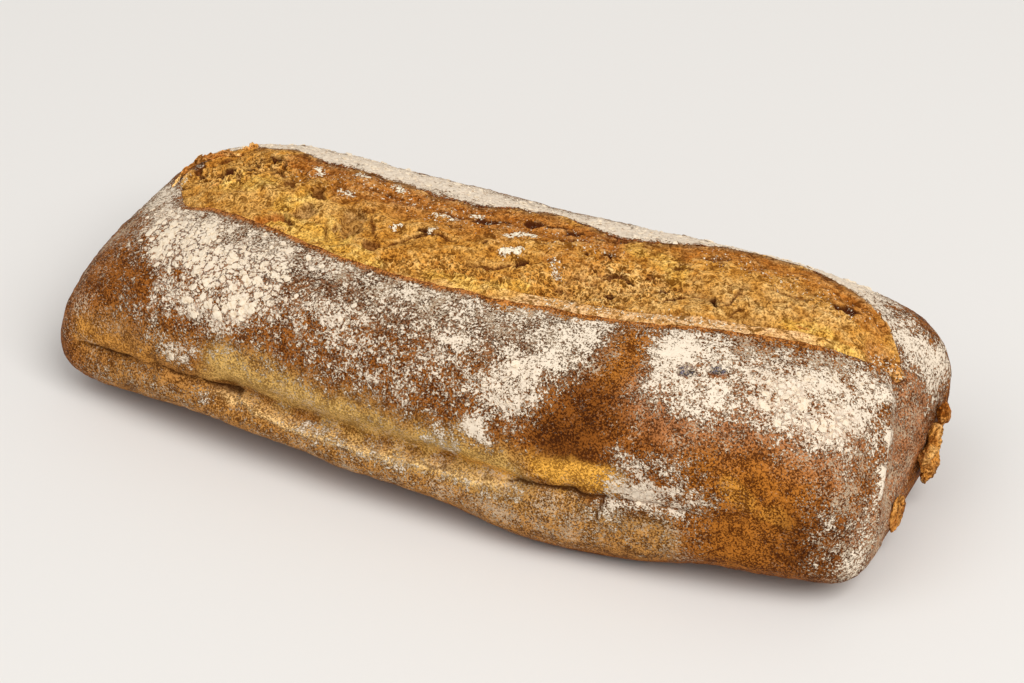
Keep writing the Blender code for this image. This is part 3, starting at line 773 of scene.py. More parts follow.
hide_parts("loaf")

# The crumb
# The soft inside of the loaf, laid bare where the crust tore.  The oven dried it to a golden
# net of strands and shallow pits, browner on its ridges and at the back.
# Its colour also holds painted shade under the back lip, in holes, hollows and grooves, and painted
# highlight on ridges.

CRUMB_STEP, CRUMB_SWELL = -0.0001, 0.001
UNDER_LIP, UNDER_LIP_WIDTH = -0.0005, 0.003
CRAG_HEIGHT, CRAG_SIZE, CRAG_STRETCH = 0.0016, 0.018, (0.7, 1.2, 1.0)
# Sharp ridges: their sizes, heights and shifts of the noise, and how they are drawn out
RIDGE_FORMS = ((0.012, 0.0007, 0.0), (0.005, 0.00024, 0.7), (0.0022, 0.00014, 1.9))
RIDGE_STRETCH, RIDGE_STEEP, RIDGE_LEVEL = (0.6, 1.2, 1.0), 3.0, 0.55
HELD_AT_LIP, LIP_CRAGS = 0.005, 0.4           # the crumb stays flush with the crust this near
TIP_DROP, TIP_REACH = 0.0006, 0.009           # and sinks at the split's right tip
WEB_SIZE, WEB_DEPTH, WEB_SHARE, WEB_RIM = 0.0032, 0.0012, 0.65, (0.02, 0.4)
WEB_STRAY, WEB_STRAY_SIZE, WEB_LEVEL, WEB_PATCHY, WEB_PATCHY_SIZE = 0.0012, 0.004, 1.1, 0.9, 0.009
PIT_SIZE, PIT_DEPTH, PIT_SHARE, PIT_RIM, PIT_LEAST = 0.0018, 0.0009, 0.7, (0.0, 0.35), 0.25
# Painted shade in the crumb's hollows and painted highlight on its ridges: blur, depth for full tint, and
# their shares
CAVITY_BLUR, CAVITY_DEPTH, CAVITY_SHADE_SHARE, CAVITY_HIGHLIGHT_SHARE = 60, 0.0007, 0.42, 0.2
FRONT_TUCK, BACK_TUCK, RIGHT_TUCK, LEFT_TUCK = 0.0014, 0.003, 0.0006, 0.0004
TUCK_REACH, TUCK_DEPTH, SLAB, THINNEST = 0.001, 0.0032, 0.008, 0.0008
CRUMB_RINGS, CRUMB_TOP, CRUMB_UNDER = 600, 152, 8

CRUMB_GOLD, CRUMB_YELLOW, CRUMB_BROWN = (192, 132, 52), (216, 164, 70), (172, 104, 38)
# Of these, the grey is painted shade in shallow hollows, the deep brown also gives painted shade in hollows,
# and the pale is painted highlight on ridges
CRUMB_TAN, CRUMB_DEEP_AND_SHADE, HOLLOW_SHADE_GREY = (194, 143, 72), (92, 44, 10), (168, 122, 62)
CRUMB_HIGHLIGHT, CRUMB_LIGHT, BAND_ORANGE = (244, 204, 128), (222, 172, 92), (214, 162, 100)
CRUMB_TOAST = (180, 118, 56)
# The dark browns below are painted shade in holes, hollows and cavities
FALLEN_WHITE, HOLE_SHADE_BROWN = (255, 240, 212), (74, 32, 8)
HOLLOW_SHADE_BROWN, CAVITY_SHADE_BROWN = (124, 76, 30), (98, 52, 16)
# Holes torn in the crumb: x, y, half length, half width, depth in mm, and colour, mostly a painted shade for
# inside them.  They lie slantwise.
HOLE_SLANT = np.radians(26)
HOLES = (
    (-126.2, 17.5, 1.6, 3.8, 1.3, CAVITY_SHADE_BROWN), (-120, 25, 3.4, 1.5, 1.3, CAVITY_SHADE_BROWN),
    (-124.8, 5, 1.8, 0.7, 1, HOLE_SHADE_BROWN), (-112, 5.5, 2.2, 1.2, 1.2, CRUMB_BROWN),
    (-122, 13, 1.7, 1.9, 2.2, HOLE_SHADE_BROWN), (-116, 11, 2, 2, 2.2, HOLLOW_SHADE_GREY),
    (-111.5, 12, 2.2, 2.6, 1.6, HOLE_SHADE_BROWN), (-105, 9, 1.2, 1.6, 1.6, HOLLOW_SHADE_GREY),
    (-105, 18, 1.6, 1.3, 2, HOLE_SHADE_BROWN), (-100, 18, 1.9, 1.2, 2, HOLE_SHADE_BROWN),
    (-96, 20, 1.2, 1.2, 2, HOLE_SHADE_BROWN), (-91, 18, 1.3, 1, 2, HOLE_SHADE_BROWN),
    (-103, 14, 2.2, 0.9, 2, HOLE_SHADE_BROWN), (-97, 10, 1.6, 0.9, 1.6, HOLE_SHADE_BROWN),
    (-91, 13, 2, 1, 2, HOLE_SHADE_BROWN), (-83, 7, 2.6, 2.4, 2.6, HOLLOW_SHADE_BROWN),
    (-69, 2, 2.4, 4.6, 4.4, HOLLOW_SHADE_BROWN), (-69, -8, 4, 3.4, 2.2, HOLLOW_SHADE_GREY),
    (-75, 1, 2.8, 4.2, 1.6, CRUMB_YELLOW), (-80, -14, 5, 2.4, 2.2, CRUMB_BROWN),
    (-50, -9, 4.2, 8, 2.6, HOLLOW_SHADE_GREY), (-55, -13, 1.4, 1.9, 1.2, HOLLOW_SHADE_GREY),
    (-37, -19, 3.6, 2.8, 2, HOLLOW_SHADE_BROWN), (-24.8, -5.8, 1.4, 1, 1.8, HOLE_SHADE_BROWN),
    (-20, 7, 1, 0.6, 1.2, HOLE_SHADE_BROWN), (-3.3, -3.4, 1.2, 1.1, 2.2, HOLE_SHADE_BROWN),
    (-8.7, 8.6, 4.8, 2, 1.3, HOLE_SHADE_BROWN), (-2, 11.2, 1.5, 1.3, 1, HOLE_SHADE_BROWN),
    (7, 15.2, 3.6, 1.3, 1.3, HOLE_SHADE_BROWN), (13.8, 16.4, 3, 1, 1, HOLE_SHADE_BROWN),
    (21.3, 15.3, 3.4, 1.9, 1.4, HOLE_SHADE_BROWN), (12, -8, 2.1, 1.9, 2.4, HOLE_SHADE_BROWN),
    (23, 9, 3.5, 1.2, 1.3, CRUMB_BROWN), (38, 7, 3, 0.9, 2.2, HOLE_SHADE_BROWN), (31, 5, 0.6, 0.6, 1, HOLE_SHADE_BROWN),
    (37, 16.5, 3, 1.4, 2.6, HOLE_SHADE_BROWN), (70, 19.8, 5.2, 2.4, 1.6, HOLLOW_SHADE_BROWN),
    (62, 13, 3, 1.4, 1.4, HOLLOW_SHADE_GREY), (78, -2, 1.2, 3.2, 3.2, HOLE_SHADE_BROWN),
    (116.5, 17.5, 3.8, 1.9, 1.8, HOLE_SHADE_BROWN), (135, 5, 1.6, 2.1, 3, HOLE_SHADE_BROWN),
    (108, 1, 2.4, 1, 1.4, CRUMB_BROWN), (54, 3, 1.7, 1.2, 1.6, HOLLOW_SHADE_BROWN),
    (46, -11, 1.5, 1.3, 1.6, HOLE_SHADE_BROWN), (41, -3, 1.6, 1.1, 1.6, HOLLOW_SHADE_BROWN),
    (36, -17, 1.4, 1.4, 1.6, HOLE_SHADE_BROWN), (61, -4, 1.6, 1.3, 1.4, HOLE_SHADE_BROWN),
    (28, -14, 1.5, 1.2, 1.4, HOLLOW_SHADE_BROWN))
HOLE_RIM, HOLE_TINT_RIM, HOLE_TINT, HOLE_STRAY = (0.7, 1.15), (0.85, 1.25), 0.95, 0.8
SLANT = np.array(((np.cos(HOLE_SLANT), -np.sin(HOLE_SLANT)), (np.sin(HOLE_SLANT), np.cos(HOLE_SLANT))))
# Domes and hollows of the crumb, slantwise too: x, y, half length, half width, height
SWELLS = metres((
    (-18, -17.5, 11, 7, 2), (-28, -1, 10, 5, 1.2), (-46, -12, 3.4, 7.5, 1.4), (-62, -8, 3.5, 6, 1),
    (-98, -2, 16, 6, 1.2), (-60, 13, 18, 6, 1), (4, 0, 15, 6, 1.2), (10, -19, 14, 4.5, 1.2),
    (34, -12, 17, 7.5, -2.4), (30, 11, 17, 4.5, 1.4), (60, 1, 12, 6, -1.4), (74, -9, 12, 4.5, 1.2),
    (100, 7, 18, 6, 1.2), (90, 20, 15, 5, 1.2)))
# Ridges and hanging edges of the crumb: (x, y) line, half width, height; each has a groove before it
RIDGES = metres((
    (((-77, -10), (-72, -14), (-67, -16)), 0.8, 1.2),
    (((-57, -10), (-55, -6), (-51, -2), (-46, 1), (-44, -3)), 0.8, 0.9),
    (((-46, -2), (-42, -8), (-37, -15)), 0.8, 1), (((-57, -6), (-57, -13), (-52, -21)), 0.8, 0.7),
    (((-36, -21), (-31, -14), (-27, -8), (-23, -5), (-18, -4.5), (-10, -7)), 0.7, 1.5),
    (((-66, 9), (-58, 7), (-50, 6)), 0.9, 0.9),
    (((-5, -16), (0, -14), (5, -12), (9, -9), (15, -7)), 0.8, 1.2),
    (((16, 7), (21, 11), (27, 10)), 0.9, 1.2), (((62, -11), (66, -6), (69, -2), (73, 3)), 0.6, 1.4),
    (((80, -6), (83, 3), (83, 12)), 0.6, 1.1), (((85, -8), (88, 2)), 0.5, 0.9),
    (((36, -4), (42, -1), (48, -1), (54, -3)), 0.7, 1.4), (((-106, 19), (-98, 22), (-90, 20)), 0.9, 1.4),
    (((-100, 13), (-92, 15), (-86, 10)), 0.7, 1.2), (((-119, 14), (-111, 13), (-104, 11)), 0.7, 1.2),
    (((-60, 14), (-50, 12), (-40, 13)), 0.8, 0.9), (((-30, 12), (-20, 9), (-12, 10)), 0.8, 1),
    (((55, 10), (64, 12), (72, 9)), 0.6, 1), (((88, 13), (98, 16), (108, 14)), 0.6, 0.9)))
GROOVE_SHIFT, GROOVE_SHARE, FOLD_SPREAD, FOLD_SHARE = 0.0006, 0.7, 0.0042, 0.45
# Small folds besides these, where they lie, their sizes, how they bow and how they turn from the slant
SMALL_FOLDS, FOLDS_SEED, FOLDS_LOW, FOLDS_HIGH = 150, 11, (-0.124, -0.03), (0.134, 0.03)
FOLD_HALF, FOLD_THIN, FOLD_TALL = (0.0012, 0.004), 0.0005, (0.0003, 0.0008)
FOLD_BOW, FOLD_TURN = (-0.4, 0.7), 0.55
RIDGE_STRAY, RIDGE_STRAY_SIZE, RIDGE_EDGE, RIDGE_TAPER = 0.0011, 0.005, 0.0004, 0.6
GROOVE_SHADE, RIDGE_HIGHLIGHT = 1200.0, 90.0       # shares of painted shade for each metre of groove, and of painted highlight for each metre of ridge
PALEST, DARKEST = 0.5, 0.85                   # the most tint that they give
GROOVE_CLEAR = 0.0003                         # grooves shallower than this keep their colour
# The painted shadow under the overhanging back lip: share, width, where it breaks off, and colour
UNDER_LIP_DARK, UNDER_LIP_SHADE, UNDER_LIP_GAPS = 0.85, 0.0034, (-0.001, 0.0001)
UNDER_LIP_GROOVE, UNDER_LIP_HOLE, UNDER_LIP_SHADOW = 0.0009, 0.7, (104, 50, 18)
# Where the crumb is an open net of strands, and how open
WEBBED_PATCHES = strokes(
    (((-126, 16), (-115, 10), (-105, 9)), 5, 0.95), (((-110, 23), (-100, 17), (-88, 15)), 4.5, 0.9),
    (((-49, -8), (-47, -14)), 4.5, 0.55), (((-30, -24), (-10, -20), (12, -18), (30, -16)), 5, 0.7),
    (((16, -12), (30, -14), (48, -12), (53, 1)), 8, 0.9), (((40, 1), (60, -7), (64, -2)), 6.5, 1),
    (((56, 11), (68, 10), (83, 6)), 5, 0.4), (((86, 3), (102, 7), (116, 10)), 7.5, 0.3),
    (((134, 9), (141, 10)), 4, 0.6))
# Where the crumb is baked differently
CRUMB_PATCHES = strokes(
    (((-120, 5), (-100, 2), (-80, -6), (-58, -12)), 10, 0.45, CRUMB_LIGHT),
    (((-128, 12), (-110, 0), (-86, -10)), 7, 0.55, CRUMB_GOLD),
    (((-104, 6), (-93, 4)), 5, 0.85, CRUMB_YELLOW), (((-78, -6), (-72, -2)), 5, 0.8, CRUMB_YELLOW),
    (((-76, -14), (-66, -16), (-54, -20), (-45, -23), (-34, -29)), 4, 0.9, CRUMB_YELLOW),
    (((-58, -10), (-56, -18)), 3, 0.7, CRUMB_YELLOW),
    (((-83, 21), (-66, 16), (-52, 13), (-20, 11), (10, 15), (35, 13)), 7.5, 0.9, CRUMB_BROWN),
    (((-60, 6), (-30, 4), (0, 3)), 6, 0.55, CRUMB_BROWN),
    (((-27, -13), (-18, -14), (-12, -12)), 6, 0.5, CRUMB_GOLD),
    (((-10, -24), (4, -24), (18, -22)), 3, 0.85, CRUMB_YELLOW), (((24, 1), (34, -4)), 6, 0.45, CRUMB_BROWN),
    (((36, -12), (60, -4), (90, 4), (112, 10)), 9, 0.8, CRUMB_TAN),
    (((44, 14), (55, 13), (62, 8)), 3, 0.6, CRUMB_YELLOW),
    (((60, 22), (80, 28), (105, 28), (124, 22)), 6, 0.8, CRUMB_BROWN),
    (((104, -1), (113, 0), (124, 1), (130, 3)), 4, 0.9, CRUMB_YELLOW),
    (((131, 9), (136, 6), (141, 8)), 5, 0.75, CRUMB_TOAST))
CRUMB_STRAY, CRUMB_STRAY_SIZE = 0.002, 0.0045
# Flour that fell on the crumb
CRUMB_FLOUR = strokes(
    (((-79, 20), (-77, 17)), 2.2, 0.8), (((-63, 19), (-58, 17)), 2.4, 0.66),
    (((-62, 6), (-58, 5)), 2.2, 0.66), (((-48, 17), (-44, 16)), 2, 0.75), (((133, 9), (140, 11)), 4.5, 0.42),
    (((-36, -7), (-34, -5)), 1.6, 0.75), (((-26, 6), (-19, 7)), 2.6, 0.7),
    (((-23, -5), (-21, -3)), 0.8, 0.75), (((-15, 11), (-11, 11)), 1.4, 0.8), (((4, 5), (10, 7)), 1.9, 1),
    (((5, -5), (9, -3)), 2.1, 1), (((2, 3), (4, 3)), 1.5, 0.9), (((22, -3), (26, -9)), 2.2, 0.6),
    (((-78, 16), (-20, 8), (35, 10)), 9, 0.26), (((70, 22), (120, 18)), 7, 0.24),
    (((30, -23.5), (60, -18), (90, -11)), 3, 0.4), (((-130, 12), (-129, 0), (-122, -12)), 3, 0.5),
    (((-122, -12), (-106, -18), (-90, -22)), 2, 0.34))
# The smooth band along the front edge, and the ledge behind it
BAND_START, BAND_END, BAND_WIDTH, BAND_CALM = (0.006, 0.026), (0.106, 0.124), (0.0046, 0.0058), 0.7
LEDGE_DEPTH, LEDGE_WIDTH = 0.0007, 0.0006
HEADROOM = 0.0012


def crumb_turns(station):
    """Turns of one ring of the crumb: its torn top from front to back, then its bed."""
    fine = np.linspace(0, np.pi, FINE_STEPS)
    section = bar(np.full(FINE_STEPS, station), fine)
    front_edge, back_edge = np.array(split_edges(section[:1, 0])).ravel()
    top = np.linspace(back_edge + BACK_TUCK, front_edge - FRONT_TUCK, CRUMB_TOP)
    bed = np.linspace(front_edge - FRONT_TUCK, back_edge + BACK_TUCK, CRUMB_UNDER + 2)[1:-1]
    return np.interp(-np.concatenate([top, bed]), -section[:, 1], fine)


def cavities(points, size, share):
    """Round holes of about the given size in a share of the cells: 1 in them and 0 outside."""
    holes = np.empty(len(points))
    for i, point in enumerate(points / size):
        distances, middles = noise.voronoi(Vector(point))
        chance = noise.cell(middles[0])
        holes[i] = max(0.0, distances[1] - distances[0]) * (abs(chance) < share)
    return holes


def sharp_ridges(places, level):
    """Ridges of three sizes, as crumb tears."""
    return sum(height * (level - RIDGE_STEEP * np.abs(uneven(places + shift, size, 2)))
               for size, height, shift in RIDGE_FORMS)


def web_relief(places, webbed):
    """The sharp ridges of torn crumb, and how deep the net of strands between them is open."""
    bent = places + WEB_STRAY * strays(places, (0.0, 0.1, 0.2), WEB_STRAY_SIZE, 2)
    web = WEB_DEPTH * webbed * ramp(cavities(bent, WEB_SIZE, WEB_SHARE), *WEB_RIM)
    pit = PIT_DEPTH * (PIT_LEAST + (1 - PIT_LEAST) * webbed)
    pit = pit * ramp(cavities(bent, PIT_SIZE, PIT_SHARE), *PIT_RIM)
    return sharp_ridges(places * RIDGE_STRETCH, RIDGE_LEVEL), web + pit


def from_oval(spots, middle, half_sizes):
    """How far each point is from the middle of a slantwise oval, where 1 is its edge."""
    return np.hypot(*((spots[:, :2] - middle) @ SLANT / half_sizes).T)


def cavity_share(lift, around):
    """How far each point of a ring mesh lies below those around it: -1 on ridges, 1 in hollows."""
    level = lift.reshape(-1, around)
    soft = level
    for _ in range(CAVITY_BLUR):
        soft = (np.roll(soft, 1, 1) + np.roll(soft, -1, 1) + np.roll(soft, 1, 0) + np.roll(soft, -1, 0)) / 4
    return np.clip((soft - level) / CAVITY_DEPTH, -1, 1).ravel()


def painted_cavity_shade(colours, cavity):
    """Crumb colours with painted shade in the hollows and painted highlight on the ridges."""
    colours = tinted(colours, CAVITY_SHADE_SHARE * np.maximum(cavity, 0), CRUMB_DEEP_AND_SHADE)
    return tinted(colours, CAVITY_HIGHLIGHT_SHARE * np.maximum(-cavity, 0), CRUMB_HIGHLIGHT)


def beside_line(points, line):
    """How far each point lies behind a line in plan, below 0 in front of it, and its place along it."""
    nearest, behind, along = np.full(len(points), np.inf), np.zeros(len(points)), np.zeros(len(points))
    line = np.array(line)
    lengths = step_lengths(line)
    passed = 0.0
    for start, end, length in zip(line[:-1], line[1:], lengths):
        forward = (end - start) / length
        offset = points[:, :2] - start
        share = np.clip(offset @ forward, 0, length)
        gap = np.linalg.norm(offset - share[:, None] * forward, axis=1)
        side = np.sign(offset[:, 1] * forward[0] - offset[:, 0] * forward[1])
        closer = gap < nearest
        nearest = np.where(closer, gap, nearest)
        behind = np.where(closer, side * gap, behind)
        along = np.where(closer, (passed + share) / lengths.sum(), along)
        passed += length
    return behind, along


def small_folds():
    """Short bowed lines all over the crumb, each with its half width and height."""
    chance = np.random.default_rng(FOLDS_SEED)
    folds = []
    for _ in range(SMALL_FOLDS):
        middle = chance.uniform(FOLDS_LOW, FOLDS_HIGH)
        angle = HOLE_SLANT + chance.normal(0, FOLD_TURN)
        forward = np.array((np.cos(angle), np.sin(angle)))
        half = chance.uniform(*FOLD_HALF)
        bow = chance.uniform(*FOLD_BOW) * half * np.array((-forward[1], forward[0]))
        line = (middle - half * forward, middle + bow, middle + half * forward)
        folds.append((line, FOLD_THIN, chance.uniform(*FOLD_TALL)))
    return folds


def ridge_places(spots):
    """How far folds raise each point, how far the grooves before them sink it and where they get painted
    shade, and their edges, which get painted highlight.
    """
    wander = RIDGE_STRAY * strays(spots, (0.1, 0.6, 0.8), RIDGE_STRAY_SIZE, 3)
    top, groove, edge = (np.zeros(len(spots)) for _ in range(3))
    for line, half_width, height in (*RIDGES, *small_folds()):
        behind, along = beside_line(spots + wander, line)
        tall = height * np.sin(np.pi * np.clip(along, 0, 1)).clip(0, 1) ** RIDGE_TAPER
        raised = ramp(behind, -RIDGE_EDGE, RIDGE_EDGE) * np.exp(-np.maximum(behind, 0) / FOLD_SPREAD)
        top = np.maximum(top, FOLD_SHARE * tall * raised)
        groove = np.maximum(groove, tall * bell(behind + GROOVE_SHIFT, half_width))
        edge = np.maximum(edge, tall * bell(behind - GROOVE_SHIFT, 0.8 * half_width))
    return top, groove, edge


def crumb_relief(places, spots, webbed, smooth, folds):
    """How far the torn crumb stands above the plain bar."""
    from_front, from_back, from_end, _ = split_places(places)
    width = np.maximum(from_front + from_back, UNDER_LIP_WIDTH)
    share = np.clip(from_front / width, 0, 1)
    lift = -CRUMB_STEP + (CRUMB_SWELL + CRUMB_STEP) * np.sin(np.pi * share)
    lift = lift - UNDER_LIP * bell(from_back, UNDER_LIP_WIDTH)
    rough = CRAG_HEIGHT * uneven(places * CRAG_STRETCH, CRAG_SIZE, 3)
    top, groove, _ = folds
    rough = rough + top - GROOVE_SHARE * groove
    ridges, net = web_relief(places, webbed)
    rough = rough + ridges - net
    for swell_x, swell_y, half_length, half_width, height in SWELLS:
        radius = from_oval(spots, (swell_x, swell_y), (half_length, half_width))
        rough = rough + height * bell(radius, 1.0)
    held = ramp(np.minimum(from_back, from_end), 0, HELD_AT_LIP)
    lift = lift - TIP_DROP * (1 - ramp(from_end, 0, TIP_REACH)) * (places[:, 0] > 0)
    rough = np.maximum(rough, 0) * (LIP_CRAGS + (1 - LIP_CRAGS) * held) + np.minimum(rough, 0) * held
    lift = lift + (1 - smooth) * rough
    ledge = LEDGE_DEPTH * ramp(spots[:, 0], *BAND_START)
    lift = lift - ledge * bell(from_front - BAND_WIDTH[1], LEDGE_WIDTH)
    under = ramp(-np.minimum(np.minimum(from_front, from_back), from_end), 0, TUCK_REACH)
    return lift * (1 - under) - TUCK_DEPTH * under


def crumb_colours(spots, lift, smooth, folds, from_back, around):
    """Holes cut into the crumb, the painted shade in them and under the back lip, and its colour over
    patches and folds, with painted shade in hollows and grooves and painted highlight on ridges.
    """
    stray = CRUMB_STRAY * strays(spots, (0.3, 0.4, 0.5), CRUMB_STRAY_SIZE, 3)
    colours = baked_colour(spots + stray, CRUMB_GOLD, CRUMB_PATCHES)
    colours = tinted(colours, smooth, BAND_ORANGE)
    shaded = UNDER_LIP_DARK * bell(from_back, UNDER_LIP_SHADE) * ramp(stray[:, 0], *UNDER_LIP_GAPS)
    shaded = shaded * between(spots[:, 0], *SPLIT_TIPS)
    dark_hole = UNDER_LIP_HOLE * shaded * bell(from_back - UNDER_LIP_GROOVE, UNDER_LIP_GROOVE)
    # Painted shadow under the overhanging back lip
    colours = tinted(colours, shaded, UNDER_LIP_SHADOW)
    # Painted shade in hollows and painted highlight on ridges, weaker on the smooth band
    colours = painted_cavity_shade(colours, cavity_share(lift, around) * (1 - BAND_CALM * smooth))
    _, groove, edge = folds
    # Painted highlight on the fold edges and painted shade in the grooves before them
    colours = tinted(colours, np.clip(RIDGE_HIGHLIGHT * edge, 0, PALEST), CRUMB_HIGHLIGHT)
    colours = tinted(colours, np.clip(GROOVE_SHADE * (groove - GROOVE_CLEAR), 0, DARKEST), HOLE_SHADE_BROWN)
    for *sizes, colour in HOLES:
        hole_x, hole_y, half_length, half_width, depth = metres(tuple(sizes))
        radius = from_oval(spots + HOLE_STRAY * stray, (hole_x, hole_y), (half_length, half_width))
        lift = lift - depth * (1 - ramp(radius, *HOLE_RIM))
        # Painted shade inside most of the holes, in their given colours
        inside = 1 - ramp(radius, *HOLE_TINT_RIM)
        colours = tinted(colours, HOLE_TINT * inside, colour)
        dark_hole = np.maximum(dark_hole, inside * (colour == HOLE_SHADE_BROWN))
    return lift, colours, dark_hole


along = np.linspace(SPLIT_FRONT[0][0] - LEFT_TUCK, SPLIT_FRONT[-1][0] - RIGHT_TUCK, CRUMB_RINGS)
fine_station = np.linspace(-0.99, 0.99, FINE_STEPS)
fine_x = bar(fine_station, np.full(FINE_STEPS, np.pi / 2))[:, 0]
station, turn = grid_places(np.interp(along, fine_x, fine_station), crumb_turns)
grid = bar(station, turn)
step = 0.0004
beyond = bar(station + step / LENGTH, turn) - grid
sideways = bar(station, turn + step) - grid
normals = unit(np.cross(sideways, beyond)).reshape(-1, 3)
places = grid.reshape(-1, 3)
spots = places + CENTRE_SHIFT
on_bed = np.tile(np.arange(grid.shape[1]) >= CRUMB_TOP, grid.shape[0])
from_front, from_back, _, _ = split_places(places)
smooth = between(spots[:, 0], BAND_START, BAND_END) * (1 - ramp(from_front, *BAND_WIDTH))
patchy = WEB_LEVEL + WEB_PATCHY * uneven(spots, WEB_PATCHY_SIZE, 2)
webbed = np.clip(np.max(bells(spots, WEBBED_PATCHES), axis=0) * patchy, 0, 1)
fallen = np.max(bells(spots, CRUMB_FLOUR), axis=0)
folds = [share * (1 - smooth) for share in ridge_places(spots)]
lift = crumb_relief(places, spots, webbed, smooth, folds)
lift, torn_colour, dark_hole = crumb_colours(spots, lift, smooth, folds, from_back, grid.shape[1])
lift = np.where(on_bed, -SLAB, np.maximum(lift, -SLAB + THINNEST))
points = spots + normals * (lift + slow_relief(places))[:, None]
points[:, 1] += LIP_OVERHANG * bell(from_back, OVERHANG_WIDTH)
points[:, 2] -= HEADROOM * ramp(points[:, 2], cad_high[2] - 2 * HEADROOM, cad_high[2] + HEADROOM)
points = np.clip(points, cad_low, cad_high)
crumb_mesh = ring_mesh(points.reshape(grid.shape), "torn_crumb")
keep(crumb_mesh, torn=torn_colour, webbed=webbed * (1 - smooth), flour=fallen, hole=dark_hole)
crumb = show(crumb_mesh)

crumb_finish, start, shader, place = finish_material("torn golden crumb")
tint, webbed_here, flour_here = start.kept("torn", "Color"), start.kept("webbed"), start.kept("flour")
toast = place.noise(0.006, 2.0, 0.6).step(0.4, 0.62)
tint = start.mix(tint.by((1.08, 1.12, 1.22)), tint.by((0.93, 0.83, 0.62)), toast)
bent = place.bent(0.0034, 0.0034)
net = 1 - bent.cells(0.002, "DISTANCE_TO_EDGE").step(0.02, 0.22)
wave = bent.noise(0.0024, 2.0, 0.6) - 0.5
strand = (1 - 11.0 * abs(wave)).limit()
hollow = place.noise(0.0024, 3.0, 0.6)
fleck = place.noise(0.0007, 2.0, 0.7)
tone = 0.47 + 0.18 * (strand - 0.25) + 0.45 * (hollow - 0.5) + 0.85 * (fleck - 0.5)
tone = tone + 0.34 * webbed_here * (net - 0.45)
bend = bent.noise(0.0046, 1.0, 0.5) - 0.5
crease = (1 - 24.0 * abs(bend)).limit() * place.noise(0.007).step(0.5, 0.6)
tone = tone - 0.3 * crease
deep = start.mix(tint.by((0.55, 0.5, 0.28)), rgba(CRUMB_DEEP_AND_SHADE), 0.45)
bright = tint.by((1.7, 1.88, 2.4))
colour = start.mix(deep, bright, tone.step(0.26, 0.74))
# Painted shade in the holes and under the back lip
colour = start.mix(colour, rgba(HOLE_SHADE_BROWN), 0.85 * start.kept("hole"))
level = 0.64 - 0.24 * flour_here
field = 0.5 * fleck + 0.5 * place.noise(0.0012, 3.0, 0.6)
cover = field.step(level, level + 0.03) * (flour_here * 8.0).limit()
colour = start.mix(colour, rgba(FALLEN_WHITE), cover)
height = tone * 1.3 + 0.5 * cover
start.feed(shader, {"Base Color": colour, "Roughness": 0.62 + 0.2 * fleck + 0.2 * cover,
                    "Normal": height.bump(0.9, 0.0006), "Specular IOR Level": 0.06})
crumb_mesh.materials.append(crumb_finish)
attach(crumb, "root")
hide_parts("loaf")

# The torn scraps
# Crumb that a neighbouring loaf tore from the right end, where the two had baked together, and
# the two crisp flaps of crust that stand up at the left end of the split.

# Crumb on the right end: its middle, its half sizes and how rough it is
END_SCRAPS = metres((
    ((148.6, 20, 25), (3.4, 8.2, 11.8), 1.9), ((150, 26.2, 37), (2, 3.4, 3.6), 1.2),
    ((147, -6, 18), (1.3, 6.4, 7), 0.9)))
SCRAP_RINGS, SCRAP_POINTS, SCRAP_LEVEL, SCRAP_CRAGS, SCRAP_GRAIN = 120, 150, 0.5, 0.6, 0.006
SCRAP_TOAST, SCRAP_GOLD, SCRAP_TOAST_SIZE = (152, 88, 28), (198, 134, 58), 0.008
FLAP_TOAST, FLAP_GOLD, FLAP_GOLD_SIZE = (190, 126, 56), (230, 178, 100), 0.004
# The flaps: the line of the foot, height, thickness and how far the top leans over
FLAPS = metres((
    (((-132.5, 8, 58), (-131.5, 14, 60.5), (-129, 20, 62.5), (-124, 27, 63), (-116, 29, 64.5)),
     3.4, 1, (2, -1)), (((-118, 33, 64), (-115, 34.5, 64.5), (-112, 35, 65)), 3, 0.8, (-1.2, 1))))
FLAP_RINGS, FLAP_POINTS, FLAP_RAGGED, FLAP_GRAIN = 90, 24, 0.9, 0.0028
FLAP_SUNK, FLAP_CRUMPLE, FLAP_CRUMPLE_SIZE = 0.0015, 0.0005, 0.0022


def scrap(name, rings, colours):
    """One torn scrap, in the crumb's own finish."""
    mesh = ring_mesh(np.clip(rings.reshape(-1, 3), cad_low, cad_high).reshape(rings.shape), name)
    none = np.zeros(len(colours))
    keep(mesh, torn=colours, webbed=none + 0.5, flour=none, hole=none)
    mesh.materials.append(crumb_finish)
    piece = show(mesh)
    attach(piece, "root")
    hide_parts("loaf")


def end_scrap(middle, half_sizes, rough):
    """Points and relief of a lump of torn crumb."""
    share = np.cos(np.linspace(np.pi, 0, SCRAP_RINGS + 2)[1:-1])[:, None]
    angle = np.linspace(0, 2 * np.pi, SCRAP_POINTS, endpoint=False)[None, :]
    radius = np.sqrt(1 - share ** 2)
    ball = np.stack([share + 0 * angle, radius * np.cos(angle), radius * np.sin(angle)], axis=-1)
    plain = ball * half_sizes + middle
    places = plain.reshape(-1, 3)
    ridges = sharp_ridges(places, SCRAP_LEVEL)
    holes = ramp(cavities(places, WEB_SIZE, WEB_SHARE), *WEB_RIM)
    lift = rough * (ridges / RIDGE_FORMS[0][1] * SCRAP_CRAGS + uneven(places, SCRAP_GRAIN, 3) - 0.5 * holes)
    return plain + ball * lift.reshape(plain.shape[:2])[..., None], lift


for number, (middle, half_sizes, rough) in enumerate(END_SCRAPS, 1):
    rings, lift = end_scrap(middle, half_sizes, rough)
    share = uneven(rings.reshape(-1, 3) + 0.5, SCRAP_TOAST_SIZE, 2)
    colours = tinted(linear(SCRAP_GOLD), (0.5 + 0.8 * share).clip(0, 1), SCRAP_TOAST)
    # Painted shade in the lumps' hollows and painted highlight on their crags
    scrap(f"end_scrap_{number}", rings, painted_cavity_shade(colours, cavity_share(lift, SCRAP_POINTS)))


